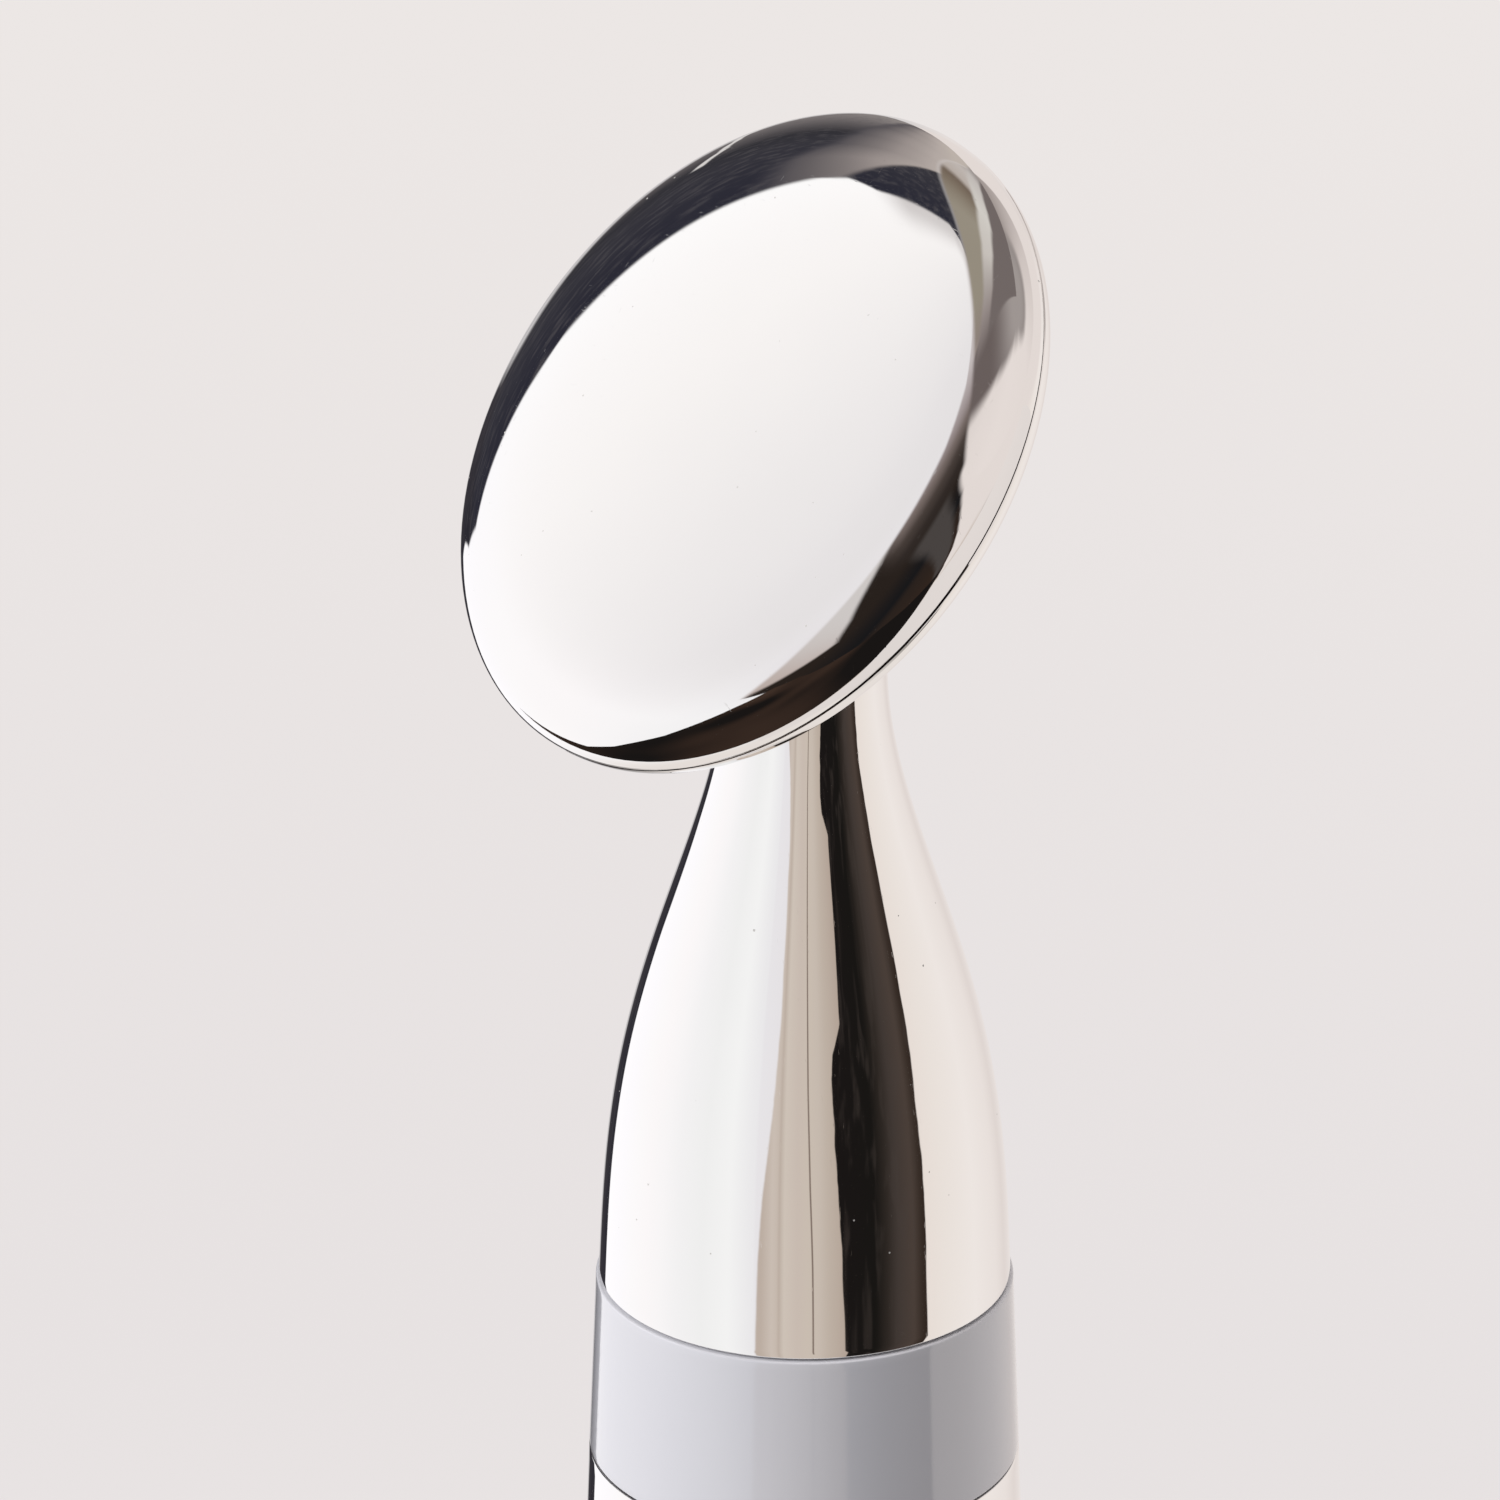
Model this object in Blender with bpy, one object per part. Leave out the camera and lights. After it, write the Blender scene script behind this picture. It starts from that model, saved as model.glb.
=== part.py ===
"""Battery-driven facial massage wand: a tilted disc head on a slim neck, an
insulating collar, and a tubular handle that is closed by a screw cap.

Frame: +Z up the handle's axis, origin at the centre of the cap's flat underside.
The disc's face looks along -Y and upwards. Sizes below are in millimetres; the
meshes are made in metres.
"""
import math

import bmesh
import bpy
from mathutils import Vector

MM = 0.001

# ---------------------------------------------------------------- clearances
GAP = 0.3               # between pieces that touch or seat on one another
SEAM = 0.3              # open line where two visible shells meet
TURNING_GAP = 0.4       # round a piece that turns
BEARING_GAP = 0.1       # shaft in its bush

# ---------------------------------------------------------------- outer form
CAP_HEIGHT = 12.0
COLLAR_HEIGHT = 10.1
SHOULDER_RISE = 35.0    # from the collar's top to where the neck is slimmest
FLARE_RISE = 13.2       # from there to the centre of the disc's rim
BASE_WALL = 1.9         # tube wall that the foot's radius leaves
BASE_EDGE = 1.5         # rounding of the cap's lower edge
BELLY_SWELL = 0.73      # how far the belly stands out past the collar
BELLY_BELOW_COLLAR = 35.0
COLLAR_PROUD = 0.15     # collar stands this far out of the head's lower edge
BODY_TAPER = 0.0416     # mm of radius lost per mm of height at the collar
NECK_RADIUS = 4.2
SHOULDER_POWER = 1.50   # above 1 the shoulder stays full and narrows late

# ---------------------------------------------------------------- disc
DISC_RADIUS = 18.4
DISC_OFFSET = 3.9       # centre of the disc's rim, in front of the handle's axis
DISC_TILT = 39.5        # degrees that the face looks upwards
PLATE_CROWN = 0.9       # rise of the nearly flat middle
BEVEL_RISE = 2.0        # rise of the rolled bevel
BEVEL_POWER = 9.0       # a higher power keeps the bevel closer to the rim
PLATE_WALL = 1.0
LIP_INSET = 4.0         # plate's locating lip, in from the rim
LIP_WALL = 1.0
LIP_DEPTH = 0.9
GASKET_THICK = 0.4
RIM_ROUND = 1.0         # rounding of the head's rim, behind the seam
RIM_ANGLE = 65.0        # degrees of that rounding
BACK_SLOPE = 25.0       # degrees between the head's back and the disc, at the rim
FLARE_FROM_NECK = 7.0   # reach of the fillet up the neck
FLARE_FROM_RIM = 8.0    # reach of the fillet in from the rim
FLARE_LEAN = 2.0        # how much further the fillet reaches at the back than in front

# ---------------------------------------------------------------- shells and core
HEAD_WALL = 1.2
HEAD_EDGE_WALL = 1.5    # head's wall round the upper spigot
NECK_SOLID = 9.0        # solid neck under its slimmest place
CORE_WALL = 1.7         # upper spigot's wall round the motor
SPIGOT_RISE = 7.0       # upper spigot above the collar
SPIGOT_DROP = 12.55     # lower spigot below the collar
PARTITION = 2.0
POCKET_LEDGE = 2.0      # width of the ledge that the motor stands on
POCKET_RISE = 3.0       # ledge above the collar's bottom
SEAL_WIRE = 0.35        # radius of an O-ring's section
LEAD_SLOT = 1.5         # width and depth of the slot for the negative lead
SLOT_BELOW_SEAL = 1.0

# ---------------------------------------------------------------- AA cell and its sleeve
CELL_RADIUS = 7.25
CELL_LENGTH = 49.2
NUB_RADIUS = 2.75
NUB_HEIGHT = 1.0
LINER_WALL = 1.05

# ---------------------------------------------------------------- cap, spring
PLUG_LENGTH = 5.5
PLUG_WALL = 1.75
SEAL_SHOULDER = 0.8     # from a shoulder to the seal's groove
CAP_FLOOR = 6.0
SPRING_PLATE_THICK = 0.6
SPRING_WIRE = 0.45      # radius of the wire
SPRING_TURNS = 5
SPRING_TOP_RADIUS = 3.6

# ---------------------------------------------------------------- motor
MOTOR_RADIUS = 6.0
MOTOR_LENGTH = 15.0
MOTOR_WALL = 0.6
BELL_HEIGHT = 2.4
SLEEVE_WALL = 0.9
SLEEVE_SHORT = 2.5      # can left bare above the sleeve
MAGNET_WALL = 1.3
MAGNET_LENGTH = 8.6
SHAFT_RADIUS = 0.75
SHAFT_OUT = 7.0
BUSH_WALL = 0.9
BUSH_LENGTH = 1.6
COMMUTATOR_RADIUS = 1.9
COMMUTATOR_HEIGHT = 2.6
BRUSH_LENGTH = 1.2
BRUSH_WIDTH = 0.9
BRUSH_HEIGHT = 1.4
WEIGHT_RADIUS = 4.6
WEIGHT_HUB = 1.9
WEIGHT_HEIGHT = 5.0
TERMINAL_SPREAD = 3.2   # from the axis
TERMINAL_WIDTH = 1.6
TERMINAL_THICK = 0.4
TERMINAL_LENGTH = 2.2

# ---------------------------------------------------------------- contacts and wires
RIVET_RADIUS = 4.4
RIVET_THICK = 0.8
STEM_RADIUS = 1.1
STEM_PROUD = 0.8
GROUND_RING_THICK = 0.6
LEAD_RADIUS = 0.45

# ---------------------------------------------------------------- facets
SIDES = 40              # round the large pieces
SMALL_SIDES = 24        # round the small ones
FLARE_STEPS = 9
O_RING_SIDES = 6

# ---------------------------------------------------------------- heights and radii that follow
LINER_BORE = CELL_RADIUS + GAP
TUBE_BORE = LINER_BORE + LINER_WALL + GAP
SPIGOT_RADIUS = TUBE_BORE - GAP
POCKET_RADIUS = MOTOR_RADIUS + 2 * GAP + SLEEVE_WALL
CHAMBER_RADIUS = POCKET_RADIUS - POCKET_LEDGE
UPPER_SPIGOT_RADIUS = POCKET_RADIUS + CORE_WALL
HEAD_BORE = UPPER_SPIGOT_RADIUS + GAP
HEAD_RADIUS = HEAD_BORE + HEAD_EDGE_WALL
COLLAR_TOP_RADIUS = HEAD_RADIUS + COLLAR_PROUD
COLLAR_BOTTOM_RADIUS = COLLAR_TOP_RADIUS + BODY_TAPER * COLLAR_HEIGHT
BELLY_RADIUS = COLLAR_BOTTOM_RADIUS + BELLY_SWELL
BASE_RADIUS = TUBE_BORE + BASE_WALL

SEAL_DEPTH = 2 * SEAL_WIRE + GAP
SEAL_WIDTH = 2 * SEAL_WIRE + 2 * GAP
PLUG_BORE = SPIGOT_RADIUS - PLUG_WALL
PLUG_TOP = CAP_HEIGHT + PLUG_LENGTH

CELL_BOTTOM = PLUG_TOP + GAP
CELL_TOP = CELL_BOTTOM + CELL_LENGTH
NUB_BOTTOM = CELL_TOP + GAP
NUB_TOP = NUB_BOTTOM + NUB_HEIGHT
RIVET_BOTTOM = NUB_TOP + GAP
SPIGOT_BOTTOM = CELL_TOP + 1.5 * GAP
PARTITION_BOTTOM = RIVET_BOTTOM + RIVET_THICK + GAP
CHAMBER_BOTTOM = PARTITION_BOTTOM + PARTITION
STEM_TOP = CHAMBER_BOTTOM + STEM_PROUD
GROUND_RING_TOP = SPIGOT_BOTTOM - GAP
GROUND_RING_BOTTOM = GROUND_RING_TOP - GROUND_RING_THICK
LINER_TOP = GROUND_RING_BOTTOM - GAP

TUBE_BOTTOM = CAP_HEIGHT + SEAM
COLLAR_BOTTOM = SPIGOT_BOTTOM + SPIGOT_DROP
TUBE_TOP = COLLAR_BOTTOM - SEAM
COLLAR_TOP = COLLAR_BOTTOM + COLLAR_HEIGHT
HEAD_BOTTOM = COLLAR_TOP + SEAM
NECK_TOP = COLLAR_TOP + SHOULDER_RISE
CAVITY_ROOF = NECK_TOP - NECK_SOLID
SPIGOT_TOP = COLLAR_TOP + SPIGOT_RISE

POCKET_FLOOR = COLLAR_BOTTOM + POCKET_RISE
BELL_BOTTOM = POCKET_FLOOR + GAP
CAN_BOTTOM = BELL_BOTTOM + BELL_HEIGHT + GAP
CAN_TOP = CAN_BOTTOM + MOTOR_LENGTH
TERMINAL_TOP = BELL_BOTTOM - GAP
TERMINAL_BOTTOM = TERMINAL_TOP - TERMINAL_LENGTH
COMMUTATOR_BOTTOM = CAN_BOTTOM + TURNING_GAP
COMMUTATOR_TOP = COMMUTATOR_BOTTOM + COMMUTATOR_HEIGHT
MAGNET_RADIUS = MOTOR_RADIUS - MOTOR_WALL - GAP
ARMATURE_RADIUS = MAGNET_RADIUS - MAGNET_WALL - TURNING_GAP
ARMATURE_BOTTOM = COMMUTATOR_TOP + GAP
BUSH_RADIUS = SHAFT_RADIUS + BEARING_GAP + BUSH_WALL
BUSH_BOTTOM = CAN_TOP - BUSH_LENGTH
WEIGHT_BOTTOM = CAN_TOP + TURNING_GAP

LOWER_SEAL_TOP = COLLAR_BOTTOM - SEAM - SEAL_SHOULDER
LOWER_SEAL_BOTTOM = LOWER_SEAL_TOP - SEAL_WIDTH
UPPER_SEAL_BOTTOM = HEAD_BOTTOM + SEAL_SHOULDER
CAP_SEAL_BOTTOM = TUBE_BOTTOM + SEAL_SHOULDER
SLOT_TOP = LOWER_SEAL_BOTTOM - SLOT_BELOW_SEAL
SLOT_FLOOR = SPIGOT_RADIUS - LEAD_SLOT

TILT = math.radians(DISC_TILT)
DISC_CENTRE = Vector((0.0, -DISC_OFFSET, NECK_TOP + FLARE_RISE))
DISC_NORMAL = Vector((0.0, -math.cos(TILT), math.sin(TILT)))
DISC_UP = Vector((0.0, math.sin(TILT), math.cos(TILT)))
DISC_RIGHT = Vector((1.0, 0.0, 0.0))
LIP_RADIUS = DISC_RADIUS - LIP_INSET
SEAT_DEPTH = LIP_DEPTH + GAP + GASKET_THICK + GAP


# ---------------------------------------------------------------- form of the body
def shoulder_radius(rise):
    """Outer radius of the head at a height above the collar's top."""
    share = min(rise / SHOULDER_RISE, 1.0)
    fullness = (1.0 + math.cos(math.pi * share ** SHOULDER_POWER)) / 2.0
    return NECK_RADIUS + (HEAD_RADIUS - BODY_TAPER * rise - NECK_RADIUS) * fullness


def body_radius(height):
    """Outer radius of cap, handle, collar and shoulder at a height."""
    if height >= HEAD_BOTTOM:
        return shoulder_radius(height - COLLAR_TOP)
    if height >= COLLAR_BOTTOM:
        share = (height - COLLAR_BOTTOM) / COLLAR_HEIGHT
        return COLLAR_BOTTOM_RADIUS + (COLLAR_TOP_RADIUS - COLLAR_BOTTOM_RADIUS) * share
    belly = COLLAR_BOTTOM - BELLY_BELOW_COLLAR
    if height >= belly:
        share = (height - belly) / BELLY_BELOW_COLLAR
        return BELLY_RADIUS + (COLLAR_BOTTOM_RADIUS - BELLY_RADIUS) * share ** 2
    share = (belly - height) / belly
    return BELLY_RADIUS + (BASE_RADIUS - BELLY_RADIUS) * share ** 2


def spaced(low, high, count):
    return [low + (high - low) * step / count for step in range(count + 1)]


def body_outline(low, high, count):
    return [(body_radius(height), height) for height in spaced(low, high, count)]


def plate_rise(radius):
    """Height of the plate's front above the rim's plane."""
    share = radius / DISC_RADIUS
    crown = PLATE_CROWN * (1.0 - share ** 2)
    return crown + BEVEL_RISE * max(1.0 - share ** BEVEL_POWER, 0.0) ** 0.5


# ---------------------------------------------------------------- making objects
def clear_scene():
    for old in list(bpy.data.objects):
        bpy.data.objects.remove(old, do_unlink=True)


def material(name, colour, roughness, metallic):
    made = bpy.data.materials.new(name)
    made.use_nodes = True
    shader = made.node_tree.nodes["Principled BSDF"]
    shader.inputs["Base Color"].default_value = (*colour, 1.0)
    shader.inputs["Roughness"].default_value = roughness
    shader.inputs["Metallic"].default_value = metallic
    made.diffuse_color = (*colour, 1.0)
    return made


def pivot(name, height, parent=None):
    """Empty on the wand's axis that pieces and joints hang on."""
    empty = bpy.data.objects.new(name, None)
    bpy.context.collection.objects.link(empty)
    empty.parent = parent
    below = parent["height"] if parent else 0.0
    empty.location = (0.0, 0.0, (height - below) * MM)
    empty["height"] = height
    return empty


def finish(name, mesh_builder, parent, look):
    """Turn a bmesh in millimetres, in the wand's frame, into a placed object."""
    bmesh.ops.remove_doubles(mesh_builder, verts=mesh_builder.verts, dist=0.0005)
    bmesh.ops.recalc_face_normals(mesh_builder, faces=mesh_builder.faces)
    shift = Vector((0.0, 0.0, parent["height"]))
    for vert in mesh_builder.verts:
        vert.co = (vert.co - shift) * MM
    mesh = bpy.data.meshes.new(name)
    mesh_builder.to_mesh(mesh)
    mesh_builder.free()
    mesh.materials.append(look)
    mesh.shade_smooth()
    mesh.set_sharp_from_angle(angle=math.radians(35))
    piece = bpy.data.objects.new(name, mesh)
    bpy.context.collection.objects.link(piece)
    piece.parent = parent
    return piece


def turned(name, profile, parent, look, sides=SIDES, ring=False):
    """Spin a (radius, height) outline about the axis. A ring's outline closes on itself."""
    builder = bmesh.new()
    points = [builder.verts.new((radius, 0.0, height)) for radius, height in profile]
    ends = points[1:] + points[:1] if ring else points[1:]
    edges = [builder.edges.new(pair) for pair in zip(points, ends)]
    bmesh.ops.spin(builder, geom=points + edges, cent=(0, 0, 0), axis=(0, 0, 1),
                   angle=2 * math.pi, steps=sides, use_duplicate=False)
    return finish(name, builder, parent, look)


def washer(name, inner, outer, low, high, parent, look, sides=SIDES):
    profile = [(inner, low), (outer, low), (outer, high), (inner, high)]
    return turned(name, profile, parent, look, sides, ring=True)


def rod(name, radius, low, high, parent, look, sides=SMALL_SIDES):
    profile = [(0.0, low), (radius, low), (radius, high), (0.0, high)]
    return turned(name, profile, parent, look, sides)


def o_ring(name, groove_floor, low, parent, look):
    """O-ring in the middle of a groove that starts at a height."""
    radius = groove_floor + GAP + SEAL_WIRE
    height = low + SEAL_WIDTH / 2
    profile = []
    for step in range(O_RING_SIDES):
        angle = 2 * math.pi * step / O_RING_SIDES
        profile.append((radius + SEAL_WIRE * math.cos(angle), height + SEAL_WIRE * math.sin(angle)))
    return turned(name, profile, parent, look, ring=True)


def block(name, low, high, parent, look):
    builder = bmesh.new()
    bmesh.ops.create_cube(builder, size=1.0)
    low, high = Vector(low), Vector(high)
    for vert in builder.verts:
        vert.co = Vector((low[i] + (vert.co[i] + 0.5) * (high[i] - low[i]) for i in range(3)))
    return finish(name, builder, parent, look)


def disc_point(across, angle, forward):
    """Point in the disc's own frame: a radius, an angle round it, a height over its rim."""
    flat = DISC_RIGHT * math.cos(angle) + DISC_UP * math.sin(angle)
    return DISC_CENTRE + flat * across + DISC_NORMAL * forward


def skinned(name, rings, parent, look, first_centre=None, last_centre=None):
    """Skin over rings of equal count; an end is closed by a fan, or the rings close up."""
    builder = bmesh.new()
    loops = [[builder.verts.new(point) for point in ring] for ring in rings]
    count = len(loops[0])
    pairs = list(zip(loops, loops[1:]))
    if first_centre is None:
        pairs.append((loops[-1], loops[0]))
    for lower, upper in pairs:
        for i in range(count):
            j = (i + 1) % count
            builder.faces.new((lower[i], lower[j], upper[j], upper[i]))
    for loop, centre in ((loops[0], first_centre), (loops[-1], last_centre)):
        if centre is None:
            continue
        middle = builder.verts.new(centre)
        for i in range(count):
            builder.faces.new((loop[i], loop[(i + 1) % count], middle))
    return finish(name, builder, parent, look)


def angles(sides=SIDES):
    return [2 * math.pi * step / sides for step in range(sides)]


def level_ring(radius, height):
    return [Vector((radius * math.cos(a), radius * math.sin(a), height)) for a in angles()]


def disc_ring(across, forward):
    return [disc_point(across, a, forward) for a in angles()]


def wire(name, points, radius, parent, look, resolution=2):
    """Round wire along points in millimetres, closed at both ends."""
    curve = bpy.data.curves.new(name, "CURVE")
    curve.dimensions = "3D"
    curve.bevel_depth = radius * MM
    curve.bevel_resolution = resolution
    curve.use_fill_caps = True
    spline = curve.splines.new("POLY")
    spline.points.add(len(points) - 1)
    shift = Vector((0.0, 0.0, parent["height"]))
    for knot, point in zip(spline.points, points):
        knot.co = (*((Vector(point) - shift) * MM), 1.0)
    curve.materials.append(look)
    piece = bpy.data.objects.new(name, curve)
    bpy.context.collection.objects.link(piece)
    piece.parent = parent
    return piece


def bezier(start, start_handle, end_handle, end, share):
    rest = 1.0 - share
    return (start * rest ** 3 + start_handle * 3 * rest ** 2 * share
            + end_handle * 3 * rest * share ** 2 + end * share ** 3)


def cut(piece, cutter):
    """Subtract a cutter, which stays in the file as a hidden wire guide."""
    boolean = piece.modifiers.new("cut", "BOOLEAN")
    boolean.operation = "DIFFERENCE"
    boolean.solver = "EXACT"
    boolean.object = cutter
    cutter.hide_render = True
    cutter.display_type = "WIRE"


# ---------------------------------------------------------------- disc and head
def make_massage_plate(parent, look):
    """Dished front shell, with a lip behind it that finds the head's recess."""
    steps = [0.0, 0.4, 0.65, 0.79, 0.87, 0.92, 0.955, 0.978, 0.992]
    front = [(share * DISC_RADIUS, plate_rise(share * DISC_RADIUS)) for share in steps[1:]]
    front.append((DISC_RADIUS, 0.0))
    inner = LIP_RADIUS - LIP_WALL
    back = [(LIP_RADIUS, 0.0), (LIP_RADIUS, -LIP_DEPTH), (inner, -LIP_DEPTH)]
    dish = [inner, 0.75 * inner, 0.45 * inner]
    back += [(radius, plate_rise(radius) - PLATE_WALL) for radius in dish]
    rings = [disc_ring(across, forward) for across, forward in front + back]
    skinned("massage_plate", rings, parent, look,
            first_centre=disc_point(0.0, 0.0, plate_rise(0.0)),
            last_centre=disc_point(0.0, 0.0, plate_rise(0.0) - PLATE_WALL))


def make_plate_gasket(parent, look):
    front = -(LIP_DEPTH + GAP)
    back = front - GASKET_THICK
    inner = LIP_RADIUS - LIP_WALL - GASKET_THICK
    corners = [(inner, front), (LIP_RADIUS, front), (LIP_RADIUS, back), (inner, back)]
    skinned("plate_gasket", [disc_ring(*corner) for corner in corners], parent, look)


def flare_ring(share):
    """Ring of the fillet between the slim neck and the back of the disc's rim."""
    edge_angle = math.radians(RIM_ANGLE)
    slope = math.radians(BACK_SLOPE)
    across = DISC_RADIUS - RIM_ROUND * (1.0 - math.cos(edge_angle))
    forward = -SEAM - RIM_ROUND * math.sin(edge_angle)
    ring = []
    for angle in angles():
        radius = body_radius(NECK_TOP)
        start = Vector((radius * math.cos(angle), radius * math.sin(angle), NECK_TOP))
        end = disc_point(across, angle, forward)
        outward = disc_point(1.0, angle, 0.0) - DISC_CENTRE
        arrival = outward * math.cos(slope) + DISC_NORMAL * math.sin(slope)
        climb = FLARE_FROM_NECK + FLARE_LEAN * math.sin(angle)
        ring.append(bezier(start, start + Vector((0.0, 0.0, climb)),
                           end - arrival * FLARE_FROM_RIM, end, share))
    return ring


def make_head_shell(parent, look):
    """Back of the disc, neck and shoulder in one casting, hollow up to the neck."""
    cavity = [(min(HEAD_BORE, body_radius(height) - HEAD_WALL), height)
              for height in spaced(SPIGOT_TOP + GAP, CAVITY_ROOF, 5)]
    rings = [level_ring(*point) for point in reversed(cavity)]
    rings.append(level_ring(HEAD_BORE, HEAD_BOTTOM))
    rings += [level_ring(*point) for point in body_outline(HEAD_BOTTOM, NECK_TOP, 11)]
    rings += [flare_ring(step / FLARE_STEPS) for step in range(1, FLARE_STEPS + 1)]
    for degrees in (45.0, 25.0, 0.0):
        angle = math.radians(degrees)
        across = DISC_RADIUS - RIM_ROUND * (1.0 - math.cos(angle))
        rings.append(disc_ring(across, -SEAM - RIM_ROUND * math.sin(angle)))
    seat = LIP_RADIUS + GAP
    rings += [disc_ring(seat, -SEAM), disc_ring(seat, -SEAT_DEPTH)]
    skinned("head_shell", rings, parent, look,
            first_centre=Vector((0.0, 0.0, CAVITY_ROOF)),
            last_centre=disc_point(0.0, 0.0, -SEAT_DEPTH))


# ---------------------------------------------------------------- core and seals
def make_insulating_core(parent, look):
    """Plastic core: visible collar, a spigot each way, motor pocket and contact recess."""
    rivet_hole = STEM_RADIUS + GAP
    recess = RIVET_RADIUS + GAP
    lower_groove = SPIGOT_RADIUS - SEAL_DEPTH
    upper_groove = UPPER_SPIGOT_RADIUS - SEAL_DEPTH
    profile = [(recess, SPIGOT_BOTTOM), (SPIGOT_RADIUS, SPIGOT_BOTTOM)]
    profile += [(SPIGOT_RADIUS, LOWER_SEAL_BOTTOM), (lower_groove, LOWER_SEAL_BOTTOM)]
    profile += [(lower_groove, LOWER_SEAL_TOP), (SPIGOT_RADIUS, LOWER_SEAL_TOP)]
    profile += [(SPIGOT_RADIUS, COLLAR_BOTTOM)] + body_outline(COLLAR_BOTTOM, COLLAR_TOP, 3)
    profile += [(UPPER_SPIGOT_RADIUS, COLLAR_TOP), (UPPER_SPIGOT_RADIUS, UPPER_SEAL_BOTTOM)]
    profile += [(upper_groove, UPPER_SEAL_BOTTOM), (upper_groove, UPPER_SEAL_BOTTOM + SEAL_WIDTH)]
    profile += [(UPPER_SPIGOT_RADIUS, UPPER_SEAL_BOTTOM + SEAL_WIDTH)]
    profile += [(UPPER_SPIGOT_RADIUS, SPIGOT_TOP), (POCKET_RADIUS, SPIGOT_TOP)]
    profile += [(POCKET_RADIUS, POCKET_FLOOR), (CHAMBER_RADIUS, POCKET_FLOOR)]
    profile += [(CHAMBER_RADIUS, CHAMBER_BOTTOM), (rivet_hole, CHAMBER_BOTTOM)]
    profile += [(rivet_hole, PARTITION_BOTTOM), (recess, PARTITION_BOTTOM)]
    core = turned("insulating_core", profile, parent, look, ring=True)
    half = LEAD_SLOT / 2
    slot_low = (-SPIGOT_RADIUS - 1.0, -half, SPIGOT_BOTTOM - 1.0)
    cut(core, block("lead_slot_cutter", slot_low, (-SLOT_FLOOR, half, SLOT_TOP), parent, look))
    hole_low = (-SPIGOT_RADIUS - 1.0, -half, SLOT_TOP - LEAD_SLOT)
    hole_high = (-CHAMBER_RADIUS + 1.0, half, SLOT_TOP)
    cut(core, block("lead_hole_cutter", hole_low, hole_high, parent, look))


def make_seals(parent, look):
    o_ring("lower_o_ring", SPIGOT_RADIUS - SEAL_DEPTH, LOWER_SEAL_BOTTOM, parent, look)
    o_ring("upper_o_ring", UPPER_SPIGOT_RADIUS - SEAL_DEPTH, UPPER_SEAL_BOTTOM, parent, look)


# ---------------------------------------------------------------- motor
def make_motor_can(parent, look):
    inner = MOTOR_RADIUS - MOTOR_WALL
    hole = BUSH_RADIUS + GAP
    profile = [(inner, CAN_BOTTOM), (MOTOR_RADIUS, CAN_BOTTOM), (MOTOR_RADIUS, CAN_TOP)]
    profile += [(hole, CAN_TOP), (hole, CAN_TOP - MOTOR_WALL), (inner, CAN_TOP - MOTOR_WALL)]
    turned("motor_can", profile, parent, look, SMALL_SIDES, ring=True)


def make_motor_inside(fixed, rotor, looks):
    """Magnet, brushes, bush, and what turns: shaft, armature, commutator, weight."""
    armature_top = ARMATURE_BOTTOM + MAGNET_LENGTH
    bore = SHAFT_RADIUS + GAP
    washer("motor_magnet", MAGNET_RADIUS - MAGNET_WALL, MAGNET_RADIUS, ARMATURE_BOTTOM,
           armature_top, fixed, looks["ferrite"], SMALL_SIDES)
    washer("shaft_bearing", SHAFT_RADIUS + BEARING_GAP, BUSH_RADIUS, BUSH_BOTTOM,
           CAN_TOP, fixed, looks["bronze"], SMALL_SIDES)
    brush_middle = COMMUTATOR_BOTTOM + COMMUTATOR_HEIGHT / 2
    for name, side in (("brush_positive", 1), ("brush_negative", -1)):
        near = side * (COMMUTATOR_RADIUS + GAP)
        far = side * (COMMUTATOR_RADIUS + GAP + BRUSH_LENGTH)
        block(name, (min(near, far), -BRUSH_WIDTH / 2, brush_middle - BRUSH_HEIGHT / 2),
              (max(near, far), BRUSH_WIDTH / 2, brush_middle + BRUSH_HEIGHT / 2),
              fixed, looks["carbon"])
    rod("motor_shaft", SHAFT_RADIUS, CAN_BOTTOM + GAP, CAN_TOP + SHAFT_OUT, rotor, looks["steel"])
    washer("armature_core", bore, ARMATURE_RADIUS, ARMATURE_BOTTOM, armature_top,
           rotor, looks["copper"], SMALL_SIDES)
    washer("commutator", bore, COMMUTATOR_RADIUS, COMMUTATOR_BOTTOM, COMMUTATOR_TOP,
           rotor, looks["brass"], SMALL_SIDES)
    make_eccentric_weight(rotor, looks["tungsten"])


def make_eccentric_weight(parent, look):
    """Round hub on the shaft with a half-round weight on one side."""
    top = WEIGHT_BOTTOM + WEIGHT_HEIGHT
    steps = SMALL_SIDES
    builder = bmesh.new()
    outer, inner = [], []
    for step in range(steps):
        angle = 2 * math.pi * step / steps
        reach = WEIGHT_RADIUS if step <= steps // 2 else WEIGHT_HUB
        outer.append((reach * math.cos(angle), reach * math.sin(angle)))
        bore = SHAFT_RADIUS + GAP
        inner.append((bore * math.cos(angle), bore * math.sin(angle)))
    loops = [[builder.verts.new((x, y, height)) for x, y in outline]
             for outline, height in ((outer, WEIGHT_BOTTOM), (outer, top),
                                     (inner, top), (inner, WEIGHT_BOTTOM))]
    for lower, upper in zip(loops, loops[1:] + loops[:1]):
        for i in range(steps):
            j = (i + 1) % steps
            builder.faces.new((lower[i], lower[j], upper[j], upper[i]))
    finish("eccentric_weight", builder, parent, look)


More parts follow.
